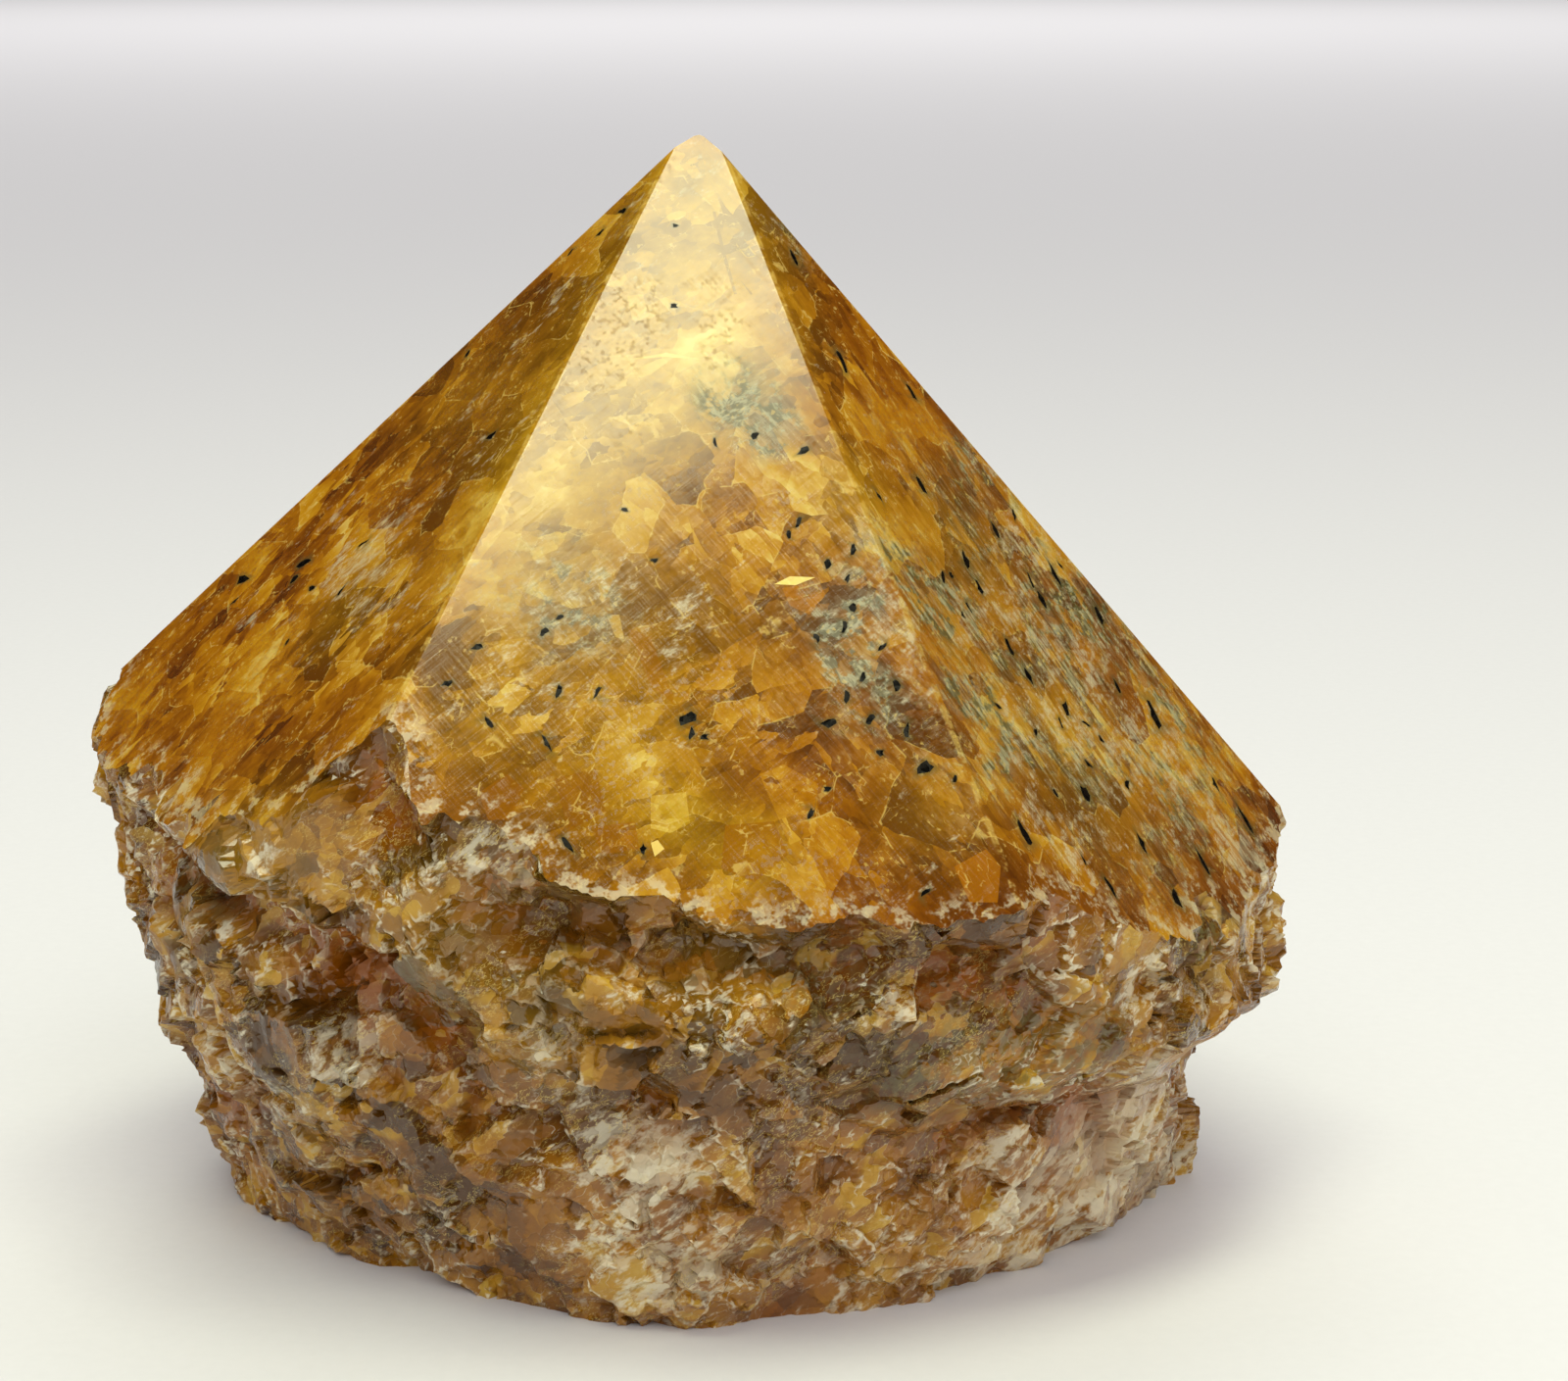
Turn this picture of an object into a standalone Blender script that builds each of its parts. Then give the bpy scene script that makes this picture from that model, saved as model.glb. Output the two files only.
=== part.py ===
"""Orchid calcite: a broken lump of calcite, sawn flat below and ground to a six-sided point.

The lump's rough side is one outline swept up through a few rings, with ledges, valleys and pits
laid over it and a grain of flat cleavage faces over those. The ground point and the sawn foot are
then cut out of the lump, so the line where polish meets rough rock wanders as it does on a real one.
Lengths are in millimetres up to the last step, which makes the mesh in metres. Azimuths are in
degrees about the upright axis through the foot: 0 is the front (-Y) and 90 the right (+X).
"""

import math

import bmesh
import bpy
import numpy as np
from mathutils import Matrix, Vector, noise

MILLIMETRE = 0.001

# Ground facets, each with its azimuth, its dip below level, and its height over the point's axis
FACETS = {
    "front": (5.5, 51.8, 88.2),
    "right": (59.6, 53.3, 90.4),
    "back_right": (121.0, 53.8, 90.5),
    "back": (181.0, 51.0, 90.9),
    "back_left": (-124.0, 47.0, 90.5),
    "left": (-58.0, 48.8, 90.7),
}
POINT_AXIS = (0.76, 0.0)

# Rough side: each ring's height, then its radius at every 30 degrees from the front (0) round
# to the right (90), the back (180) and the left (270)
RINGS = (
    (-4.0, (31.8, 31.0, 33.0, 40.0, 36.6, 33.4, 33.0, 34.0, 36.4, 38.8, 31.0, 28.6)),
    (0.0, (32.8, 31.8, 34.3, 41.2, 38.6, 35.4, 34.5, 35.5, 38.4, 40.2, 32.2, 29.6)),
    (8.0, (35.4, 34.4, 37.4, 41.6, 41.4, 38.9, 37.5, 38.5, 41.2, 42.8, 37.0, 33.2)),
    (13.0, (37.0, 36.2, 39.8, 44.0, 43.4, 40.4, 39.0, 40.0, 42.2, 44.4, 39.4, 35.6)),
    (20.0, (39.0, 40.2, 44.4, 48.0, 45.4, 42.4, 40.6, 41.4, 43.4, 45.6, 42.0, 38.2)),
    (28.0, (41.0, 43.8, 46.0, 48.8, 46.2, 43.5, 42.0, 42.5, 44.7, 48.0, 43.4, 40.5)),
    (38.0, (41.5, 46.5, 46.0, 48.0, 45.2, 43.0, 42.0, 43.0, 45.7, 48.9, 44.4, 42.6)),
    (60.0, (41.0, 46.0, 44.0, 46.0, 43.0, 42.0, 41.0, 42.0, 44.5, 47.6, 43.6, 41.6)),
)
RING_STEP = 30.0

# Ledges and valleys: the azimuth and height of both ends, the half width, and how far it stands out
RIDGES = {
    "hollow under the front rim": ((-20.0, 34.8), (36.0, 29.0), 2.6, -3.0),
    "ridge below the front rim": ((-14.0, 29.8), (22.0, 26.0), 2.6, 1.6),
    "ridge across the right": ((18.0, 21.5), (88.0, 21.0), 2.4, 1.6),
    "hollow under the right ridge": ((24.0, 15.8), (94.0, 14.0), 3.0, -2.0),
    "broken corner under the left front edge": ((-32.0, 42.0), (-32.0, 50.0), 3.4, -2.0),
    "crust over the left valley": ((-64.0, 38.0), (-42.0, 33.6), 1.9, 1.3),
    "valley below the left facet": ((-74.0, 34.6), (-36.0, 29.0), 2.8, -2.4),
    "valley down to the front": ((-36.0, 28.0), (-8.0, 18.0), 3.0, -2.0),
    "step at the left edge": ((-104.0, 10.8), (-70.0, 11.2), 2.0, -1.2),
    "lobe over the foot": ((-6.0, 10.0), (10.0, 7.0), 5.0, 1.2),
    "ridge across the back": ((128.0, 27.0), (196.0, 22.0), 2.8, 1.8),
    "hollow under the back ridge": ((140.0, 19.5), (204.0, 15.0), 3.0, -2.2),
    "shoulder at the back left": ((212.0, 32.0), (244.0, 26.0), 3.2, 1.6),
    "valley at the back left": ((206.0, 26.0), (238.0, 15.0), 3.0, -2.0),
    "valley at the back right": ((104.0, 31.0), (132.0, 17.0), 3.0, -2.2),
}
UNROLLED_RADIUS = 43.0

# Pits where whole grains have dropped out: azimuth, height, radius and depth
PITS = (
    (2.0, 31.5, 3.2, 1.8),
    (18.0, 33.0, 3.0, 2.0),
    (27.0, 30.5, 2.6, 1.6),
    (-14.0, 33.5, 2.8, 1.6),
    (-12.0, 26.5, 2.4, 1.4),
    (-26.0, 20.5, 2.6, 1.4),
    (38.0, 10.5, 3.0, 1.6),
    (22.0, 7.5, 2.8, 1.5),
    (-40.0, 12.5, 3.0, 1.4),
    (66.0, 9.0, 2.8, 1.5),
    (112.0, 12.0, 3.2, 1.8),
    (158.0, 30.5, 3.0, 1.8),
    (188.0, 17.0, 3.4, 2.0),
    (232.0, 13.0, 3.2, 1.8),
    (252.0, 30.0, 2.8, 1.4),
)

# Broad lumps and the grain of flat cleavage faces
LUMP_SPACING = 17.0
LUMP_HEIGHT = 1.5
KNOB_SPACING = 8.0
KNOB_HEIGHT = 1.0
GRAIN_SIZE = 6.4
GRAIN_STEP = 0.8
GRAIN_TILT = 0.30
STEP_KEY = 57.0
LEAN_KEY = 31.0

# Mesh spacing on the rough side, and how far each corner strays from an even grid
COLUMNS = 162
ROWS = 34
LOWEST_ROW = -2.6
HIGHEST_ROW = 53.0
STRAY = 0.28
STRAY_SEED = 7
TOP_OF_LUMP = 96.0

# Move that brings the middle of the finished stone's box over the origin
FOOT_CENTRE_SHIFT = (0.24, 0.02)

CALCITE_COLOUR = (0.43, 0.22, 0.055, 1.0)
CALCITE_ROUGHNESS = 0.42


def ring_radius(radii, azimuth):
    """Radius at an azimuth, on a smooth closed curve through one ring's radii."""
    place = (azimuth / RING_STEP) % len(radii)
    first = int(place)
    part = place - first
    before, here, after, beyond = (radii[(first + shift) % len(radii)] for shift in (-1, 0, 1, 2))
    return 0.5 * (
        2.0 * here
        + (after - before) * part
        + (2.0 * before - 5.0 * here + 4.0 * after - beyond) * part**2
        + (3.0 * here - before - 3.0 * after + beyond) * part**3
    )


def base_radius(azimuth, height):
    """Radius of the lump before any ledge, pit or grain, between the two nearest rings."""
    for (low, low_radii), (high, high_radii) in zip(RINGS, RINGS[1:]):
        if height <= high:
            break
    part = min(max((height - low) / (high - low), 0.0), 1.0)
    inner = ring_radius(low_radii, azimuth)
    outer = ring_radius(high_radii, azimuth)
    return inner + (outer - inner) * part


def turn_between(azimuth, other):
    """Smallest turn from one azimuth to another, between -180 and 180 degrees."""
    return (azimuth - other + 180.0) % 360.0 - 180.0


def unrolled_offset(azimuth, height, place):
    """Distance along and up the unrolled side from a place given by azimuth and height."""
    along = math.radians(turn_between(azimuth, place[0])) * UNROLLED_RADIUS
    return Vector((along, height - place[1]))


def ridge_relief(azimuth, height):
    """How far the ledges and valleys push the side out."""
    relief = 0.0
    for start, end, half_width, rise in RIDGES.values():
        run = -unrolled_offset(*start, end)
        offset = unrolled_offset(azimuth, height, start)
        along = min(max(offset.dot(run) / run.length_squared, 0.0), 1.0)
        gap = (offset - run * along).length / half_width
        relief += rise * math.exp(-gap * gap)
    return relief


def pit_relief(azimuth, height):
    """How far the pits set the side back."""
    relief = 0.0
    for pit_azimuth, pit_height, radius, depth in PITS:
        gap = unrolled_offset(azimuth, height, (pit_azimuth, pit_height)).length / radius
        if gap < 1.0:
            relief -= depth * (1.0 - gap * gap)
    return relief


def grain_relief(spot):
    """Height of the flat cleavage face that covers a spot, over the lumps and knobs it sits on."""
    key = noise.voronoi(spot / GRAIN_SIZE)[1][0]
    centre = key * GRAIN_SIZE
    relief = LUMP_HEIGHT * noise.noise(centre / LUMP_SPACING)
    relief += KNOB_HEIGHT * noise.noise(centre / KNOB_SPACING)
    relief += GRAIN_STEP * noise.cell(key * STEP_KEY)
    lean = noise.cell_vector(key * LEAN_KEY) * 2.0 - Vector((1.0, 1.0, 1.0))
    return relief + GRAIN_TILT * lean.dot(spot - centre)


def around(azimuth, height, radius):
    """Point at an azimuth, height and radius about the lump's axis."""
    angle = math.radians(azimuth)
    return Vector((math.sin(angle) * radius, -math.cos(angle) * radius, height))


def rough_spot(azimuth, height):
    """Point of the finished rough side."""
    radius = base_radius(azimuth, height)
    spot = around(azimuth, height, radius)
    radius += ridge_relief(azimuth, height) + pit_relief(azimuth, height) + grain_relief(spot)
    return around(azimuth, height, radius)


def build_lump():
    """Closed lump: rows of the rough side, carried straight up and capped above the point."""
    model = bmesh.new()
    random = np.random.default_rng(STRAY_SEED)
    row_step = (HIGHEST_ROW - LOWEST_ROW) / (ROWS - 1)
    column_step = 360.0 / COLUMNS
    rings = []
    for row in range(ROWS):
        ring = []
        for column in range(COLUMNS):
            stray_round, stray_up = random.uniform(-STRAY, STRAY, 2)
            if row in (0, ROWS - 1):
                stray_up = 0.0
            azimuth = (column + 0.5 * (row % 2) + stray_round) * column_step
            height = LOWEST_ROW + (row + stray_up) * row_step
            ring.append(model.verts.new(rough_spot(azimuth, height)))
        rings.append(ring)
    rings.append([model.verts.new((v.co.x, v.co.y, TOP_OF_LUMP)) for v in rings[-1]])
    for low, high in zip(rings, rings[1:]):
        for column in range(COLUMNS):
            following = (column + 1) % COLUMNS
            model.faces.new((low[column], low[following], high[following], high[column]))
    model.faces.new(list(reversed(rings[0])))
    model.faces.new(rings[-1])
    bmesh.ops.triangulate(model, faces=model.faces, quad_method="SHORT_EDGE")
    bmesh.ops.recalc_face_normals(model, faces=model.faces)
    return mesh_object("lump", model)


def facet_plane(azimuth, dip, axis_height):
    """Point on a ground facet and its outward normal."""
    outward = around(azimuth, 0.0, math.sin(math.radians(dip)))
    outward.z = math.cos(math.radians(dip))
    return Vector((*POINT_AXIS, axis_height)), outward


def build_cutter():
    """Solid pyramid under the six ground facets, standing on the level of the sawn foot."""
    model = bmesh.new()
    bmesh.ops.create_cube(model, size=2.0 * TOP_OF_LUMP)
    bmesh.ops.translate(model, verts=model.verts, vec=(0.0, 0.0, TOP_OF_LUMP))
    for facet in FACETS.values():
        on_plane, outward = facet_plane(*facet)
        cut = bmesh.ops.bisect_plane(
            model,
            geom=model.verts[:] + model.edges[:] + model.faces[:],
            plane_co=on_plane,
            plane_no=outward,
            clear_outer=True,
        )
        rim = [item for item in cut["geom_cut"] if isinstance(item, bmesh.types.BMEdge)]
        bmesh.ops.contextual_create(model, geom=rim)
    bmesh.ops.recalc_face_normals(model, faces=model.faces)
    return mesh_object("point_cutter", model)


def mesh_object(name, model):
    """Object in the scene from a bmesh, which is freed."""
    mesh = bpy.data.meshes.new(name)
    model.to_mesh(mesh)
    model.free()
    thing = bpy.data.objects.new(name, mesh)
    bpy.context.scene.collection.objects.link(thing)
    return thing


def calcite():
    """Honey-orange calcite, waxy where it is ground."""
    material = bpy.data.materials.new("calcite")
    material.use_nodes = True
    shader = material.node_tree.nodes["Principled BSDF"]
    shader.inputs["Base Color"].default_value = CALCITE_COLOUR
    shader.inputs["Roughness"].default_value = CALCITE_ROUGHNESS
    shader.inputs["Metallic"].default_value = 0.0
    material.diffuse_color = CALCITE_COLOUR
    return material


def build_stone():
    """The lump, cut to its ground point and sawn foot, as one solid in metres."""
    stone = build_lump()
    cutter = build_cutter()
    cutter.hide_render = True
    cutter.display_type = "WIRE"
    for thing in (stone, cutter):
        thing.data.transform(Matrix.Translation((*FOOT_CENTRE_SHIFT, 0.0)))
        thing.data.transform(Matrix.Scale(MILLIMETRE, 4))
    grind = stone.modifiers.new("grind the point and saw the foot", "BOOLEAN")
    grind.operation = "INTERSECT"
    grind.solver = "EXACT"
    grind.object = cutter
    stone.name = "orchid_calcite"
    stone.data.name = "orchid_calcite"
    stone.data.materials.append(calcite())
    return stone


def clear_scene():
    """Remove whatever objects the scene holds."""
    for thing in list(bpy.data.objects):
        bpy.data.objects.remove(thing)


clear_scene()
build_stone()
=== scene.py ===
"""Orchid calcite, finished: the stone's broken sides and polished facets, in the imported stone's frame.

The broken sides follow the same rings, ledges and pits as the solid. Each crystal in them is then
split along its own three cleavage directions, so the surface is made of small steps and flats. The
ground facets are flat meshes that end on the same wandering rim, with the dark grains let in flush.
Shapes are worked out in millimetres about the upright axis through the foot, where azimuth 0 is the
front (-Y) and 90 the right (+X), and turned into metres when a mesh is made.
"""

import logging
import math
from dataclasses import dataclass, field
from enum import Enum, IntEnum

import bmesh
import bpy
import numpy as np
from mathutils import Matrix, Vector, noise
from mathutils.geometry import delaunay_2d_cdt
from mathutils.kdtree import KDTree


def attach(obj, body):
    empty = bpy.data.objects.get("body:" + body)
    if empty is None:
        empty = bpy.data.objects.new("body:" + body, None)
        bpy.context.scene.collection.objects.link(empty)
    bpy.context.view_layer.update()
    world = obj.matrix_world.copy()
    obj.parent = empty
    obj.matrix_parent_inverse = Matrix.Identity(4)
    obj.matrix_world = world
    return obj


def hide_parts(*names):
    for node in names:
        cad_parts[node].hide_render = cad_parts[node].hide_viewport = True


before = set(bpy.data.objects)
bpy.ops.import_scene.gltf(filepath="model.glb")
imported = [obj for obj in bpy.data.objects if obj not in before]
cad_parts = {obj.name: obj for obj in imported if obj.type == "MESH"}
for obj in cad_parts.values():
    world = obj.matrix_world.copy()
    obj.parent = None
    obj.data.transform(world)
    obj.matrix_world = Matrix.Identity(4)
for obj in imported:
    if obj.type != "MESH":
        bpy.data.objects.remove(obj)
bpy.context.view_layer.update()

LOG = logging.getLogger("orchid_calcite")
Array = np.ndarray
Rows = tuple[tuple[float, ...], ...]

NODE = "orchid_calcite"
MILLIMETRE = 0.001
FOOT_CENTRE_SHIFT = (0.24, 0.02, 0.0)
POINT_AXIS = (0.76, 0.0)
PHOTO_SIZE = (1600, 1409)
BEDDING_RUN = (0.79, 0.05, 0.61)
STEEP_RUN = (0.57, -0.21, -0.80)
KEY_STEP = 2654435761
MIX_STEP = np.uint64(0x9E3779B97F4A7C15)


class Stream(IntEnum):
    """Streams of random values, which don't depend on one another."""

    BROKEN = 3
    SPECK = 5
    AXIS = 11
    LEAN = 21
    SPAN = 31
    SHIFT = 41
    CRYSTAL = 51
    RAGGED = 61
    RHOMB = 71


class Finish(IntEnum):
    """Place of each finish in the stone's list of materials."""

    GROUND = 0
    BROKEN = 1
    DARK = 2
    SAWN = 3


def add_object(name: str, data: bpy.types.ID) -> bpy.types.Object:
    """New object in the scene."""
    holder = bpy.data.objects.new(name, data)
    bpy.context.scene.collection.objects.link(holder)
    return holder


def unit(vectors: Array) -> Array:
    """Vectors scaled to length 1."""
    return vectors / np.linalg.norm(vectors, axis=-1, keepdims=True)


def around(azimuth: Array, radius: Array, height: Array) -> Array:
    """Points about the upright axis.

    Args:
        azimuth: Degrees from the front.
        radius: Millimetres from the axis.
        height: Millimetres over the foot.

    Returns:
        Points, one row each.
    """
    turn = np.radians(azimuth)
    return np.stack([np.sin(turn) * radius, -np.cos(turn) * radius, height + 0.0 * turn], axis=-1)


def azimuth_of(points: Array) -> Array:
    """Azimuth of points, in degrees from the front."""
    return np.degrees(np.arctan2(points[..., 0], -points[..., 1]))


def scatter_code(whole: Array, seed: int) -> Array:
    """Even random values between 0 and 1, one for each row of whole numbers.

    Args:
        whole: Whole numbers, the last axis of which is one key.
        seed: Picks the stream.

    Returns:
        One value for each key.
    """
    code = np.full(whole.shape[:-1], seed * KEY_STEP % 2**32, dtype=np.uint64)
    for column in range(whole.shape[-1]):
        code ^= whole[..., column].astype(np.int64).astype(np.uint64) & np.uint64(0xFFFFFFFF)
        code = (code * MIX_STEP) & np.uint64(0xFFFFFFFFFFFFFFFF)
        code ^= code >> np.uint64(29)
    return (code & np.uint64(0xFFFFFF)).astype(float) / 0xFFFFFF


@dataclass(frozen=True)
class Facet:
    """A ground facet, or the worn edge between two.

    Attributes:
        azimuth: Degrees from the front that it faces.
        dip: Degrees that it falls away from level.
        axis_height: Height at which it passes the point's axis.
    """

    azimuth: float
    dip: float
    axis_height: float

    def normal(self) -> Array:
        """Outward normal."""
        slope = math.radians(self.dip)
        outward = around(np.array(self.azimuth), np.array(math.sin(slope)), np.array(0.0))
        return outward + np.array([0.0, 0.0, math.cos(slope)])

    def plane(self) -> tuple[Array, float]:
        """Outward normal, and its product with any point of the facet."""
        outward = self.normal()
        return outward, float(outward @ np.array([*POINT_AXIS, self.axis_height]))


FACETS: dict[str, Facet] = {
    "front": Facet(5.5, 51.8, 88.2),
    "right": Facet(59.6, 53.3, 90.4),
    "back_right": Facet(121.0, 53.8, 90.5),
    "back": Facet(181.0, 51.0, 90.9),
    "back_left": Facet(236.0, 47.0, 90.5),
    "left": Facet(302.0, 48.8, 90.7),
}


@dataclass
class Point:
    """The ground point: six facets, with a narrow worn face along each edge between two.

    Attributes:
        wear: Depth ground off each edge.
        names: Name of each plane.
        normals: Outward normal of each plane.
        offsets: Product of each normal with any point of its plane.
    """

    wear: float = 0.07
    names: list[str] = field(default_factory=list)
    normals: Array = field(default_factory=lambda: np.zeros((0, 3)))
    offsets: Array = field(default_factory=lambda: np.zeros(0))

    def __post_init__(self) -> None:
        """Work out every plane, in order of azimuth."""
        facets = list(FACETS.items())
        normals, offsets = [], []
        for index, (name, facet) in enumerate(facets):
            following = facets[(index + 1) % len(facets)][1]
            outward, offset = facet.plane()
            beyond, beyond_offset = following.plane()
            spread = float(np.linalg.norm(outward + beyond))
            self.names += [name, f"edge_{name}"]
            normals += [outward, (outward + beyond) / spread]
            offsets += [offset, (offset + beyond_offset) / spread - self.wear]
        self.normals = np.array(normals)
        self.offsets = np.array(offsets)

    def over(self, points: Array) -> Array:
        """Distance of points outside each plane, one column a plane."""
        return points @ self.normals.T - self.offsets

    def edge_line(self, index: int) -> tuple[Array, Array]:
        """Line between a plane and the one after it.

        Args:
            index: The first plane.

        Returns:
            A point of the line at the foot's level, and its step for each millimetre of height.
        """
        after = (index + 1) % len(self.offsets)
        pair = np.array([self.normals[index], self.normals[after]])
        limits = np.array([self.offsets[index], self.offsets[after]])
        flat = np.linalg.inv(pair[:, :2])
        start = np.append(flat @ limits, 0.0)
        step = np.append(flat @ -pair[:, 2], 1.0)
        return start, step

    def tips(self, index: int, lowest: float = 80.0) -> Array:
        """Corners near the tip that lie on one plane."""
        corners = []
        count = len(self.offsets)
        for second in range(count):
            for third in range(second + 1, count):
                if index in (second, third):
                    continue
                trio = self.normals[[index, second, third]]
                if abs(np.linalg.det(trio)) < 1e-6:
                    continue
                corner = np.linalg.solve(trio, self.offsets[[index, second, third]])
                if corner[2] > lowest and self.over(corner).max() < 1e-6:
                    corners.append(corner)
        return np.array(corners)


@dataclass(frozen=True)
class Spell:
    """One ledge or valley of the rough side.

    Attributes:
        start: Azimuth and height at which it starts.
        end: Azimuth and height at which it ends.
        half_width: Distance from its line at which it has mostly faded.
        rise: How far it stands out, or in where less than 0.
    """

    start: tuple[float, float]
    end: tuple[float, float]
    half_width: float
    rise: float


@dataclass
class Lump:
    """The broken stone before it was ground: the same rings, ledges, pits and grains as the solid.

    Attributes:
        rings: Each ring's height and its radii, every 30 degrees from the front.
        ledges: Ledges and valleys, as azimuth and height of both ends, half width and rise.
        pits: Azimuth, height, radius and depth of each pit.
        unrolled_radius: Radius at which the side is measured when it is unrolled.
        lump_spacing: Distance between the broad lumps.
        lump_height: How far they stand out.
        knob_spacing: Distance between the knobs on them.
        knob_height: How far those stand out.
        grain_size: Size of the coarse crystals.
        grain_step: Most that one crystal stands out over another.
        grain_tilt: How steeply a crystal's flat face may lean.
        step_key: Turns a crystal's place into the key of its step.
        lean_key: Turns a crystal's place into the key of its lean.
        table_columns: Number of azimuths for which the radius is worked out once.
        table_rows: Number of heights for which it is.
        table_low: Lowest of those heights.
        table_high: Highest of those heights.
        table: The radii, by azimuth and height.
    """

    rings: tuple[tuple[float, tuple[float, ...]], ...] = (
        (-4.0, (31.8, 31.0, 33.0, 40.0, 36.6, 33.4, 33.0, 34.0, 36.4, 38.8, 31.0, 28.6)),
        (0.0, (32.8, 31.8, 34.3, 41.2, 38.6, 35.4, 34.5, 35.5, 38.4, 40.2, 32.2, 29.6)),
        (8.0, (35.4, 34.4, 37.4, 41.6, 41.4, 38.9, 37.5, 38.5, 41.2, 42.8, 37.0, 33.2)),
        (13.0, (37.0, 36.2, 39.8, 44.0, 43.4, 40.4, 39.0, 40.0, 42.2, 44.4, 39.4, 35.6)),
        (20.0, (39.0, 40.2, 44.4, 48.0, 45.4, 42.4, 40.6, 41.4, 43.4, 45.6, 42.0, 38.2)),
        (28.0, (41.0, 43.8, 46.0, 48.8, 46.2, 43.5, 42.0, 42.5, 44.7, 48.0, 43.4, 40.5)),
        (38.0, (41.5, 46.5, 46.0, 48.0, 45.2, 43.0, 42.0, 43.0, 45.7, 48.9, 44.4, 42.6)),
        (60.0, (41.0, 46.0, 44.0, 46.0, 43.0, 42.0, 41.0, 42.0, 44.5, 47.6, 43.6, 41.6)),
    )
    ledges: tuple[Spell, ...] = (
        Spell((-20.0, 34.8), (36.0, 29.0), 2.6, -3.0),
        Spell((-14.0, 29.8), (22.0, 26.0), 2.6, 1.6),
        Spell((18.0, 21.5), (88.0, 21.0), 2.4, 1.6),
        Spell((24.0, 15.8), (94.0, 14.0), 3.0, -2.0),
        Spell((-32.0, 42.0), (-32.0, 50.0), 3.4, -2.0),
        Spell((-64.0, 38.0), (-42.0, 33.6), 1.9, 1.3),
        Spell((-74.0, 34.6), (-36.0, 29.0), 2.8, -2.4),
        Spell((-36.0, 28.0), (-8.0, 18.0), 3.0, -2.0),
        Spell((-104.0, 10.8), (-70.0, 11.2), 2.0, -1.2),
        Spell((-6.0, 10.0), (10.0, 7.0), 5.0, 1.2),
        Spell((128.0, 27.0), (196.0, 22.0), 2.8, 1.8),
        Spell((140.0, 19.5), (204.0, 15.0), 3.0, -2.2),
        Spell((212.0, 32.0), (244.0, 26.0), 3.2, 1.6),
        Spell((206.0, 26.0), (238.0, 15.0), 3.0, -2.0),
        Spell((104.0, 31.0), (132.0, 17.0), 3.0, -2.2),
    )
    pits: Rows = (
        (2.0, 31.5, 3.2, 1.8), (18.0, 33.0, 3.0, 2.0), (27.0, 30.5, 2.6, 1.6), (-14.0, 33.5, 2.8, 1.6),
        (-12.0, 26.5, 2.4, 1.4), (-26.0, 20.5, 2.6, 1.4), (38.0, 10.5, 3.0, 1.6), (22.0, 7.5, 2.8, 1.5),
        (-40.0, 12.5, 3.0, 1.4), (66.0, 9.0, 2.8, 1.5), (112.0, 12.0, 3.2, 1.8), (158.0, 30.5, 3.0, 1.8),
        (188.0, 17.0, 3.4, 2.0), (232.0, 13.0, 3.2, 1.8), (252.0, 30.0, 2.8, 1.4),
    )
    unrolled_radius: float = 43.0
    lump_spacing: float = 17.0
    lump_height: float = 1.5
    knob_spacing: float = 8.0
    knob_height: float = 1.0
    grain_size: float = 6.4
    grain_step: float = 0.8
    grain_tilt: float = 0.30
    step_key: float = 57.0
    lean_key: float = 31.0
    table_columns: int = 720
    table_rows: int = 140
    table_low: float = -3.0
    table_high: float = 60.0
    table: Array = field(default_factory=lambda: np.zeros((0, 0)))

    def __post_init__(self) -> None:
        """Fill the table of radii that later lookups read."""
        azimuths = np.arange(self.table_columns) * 360.0 / self.table_columns
        heights = np.linspace(self.table_low, self.table_high, self.table_rows)
        azimuth, height = (grid.ravel() for grid in np.meshgrid(azimuths, heights, indexing="ij"))
        base = self.smooth_radius(azimuth, height)
        radius = base + self.relief(azimuth, height)
        keys = self.grain_keys(around(azimuth, base, height), self.grain_size)
        radius += self.grain_relief(around(azimuth, base, height), keys)
        self.table = radius.reshape(self.table_columns, self.table_rows)

    def smooth_radius(self, azimuth: Array, height: Array) -> Array:
        """Radius of the side between the two nearest rings, each a smooth closed curve.

        Args:
            azimuth: Degrees from the front.
            height: Height in millimetres.

        Returns:
            Radius at each place.
        """
        step = 360.0 / len(self.rings[0][1])
        place = (azimuth / step) % len(self.rings[0][1])
        first = np.floor(place).astype(int)
        part = place - first
        ring_heights = np.array([ring[0] for ring in self.rings])
        radii = np.array([ring[1] for ring in self.rings])
        count = radii.shape[1]
        before, here, after, beyond = (radii[:, (first + shift) % count] for shift in (-1, 0, 1, 2))
        curves = 0.5 * (
            2.0 * here
            + (after - before) * part
            + (2.0 * before - 5.0 * here + 4.0 * after - beyond) * part**2
            + (3.0 * here - before - 3.0 * after + beyond) * part**3
        )
        low = np.clip(np.searchsorted(ring_heights, height) - 1, 0, len(ring_heights) - 2)
        share = (height - ring_heights[low]) / (ring_heights[low + 1] - ring_heights[low])
        share = np.clip(share, 0.0, 1.0)
        picked = np.arange(len(height))
        return curves[low, picked] * (1.0 - share) + curves[low + 1, picked] * share

    def unrolled(self, azimuth: Array, height: Array, place: tuple[float, float]) -> Array:
        """Distances along and up the unrolled side from a place, one row each."""
        turn = (azimuth - place[0] + 180.0) % 360.0 - 180.0
        return np.stack([np.radians(turn) * self.unrolled_radius, height - place[1]], axis=-1)

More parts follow.
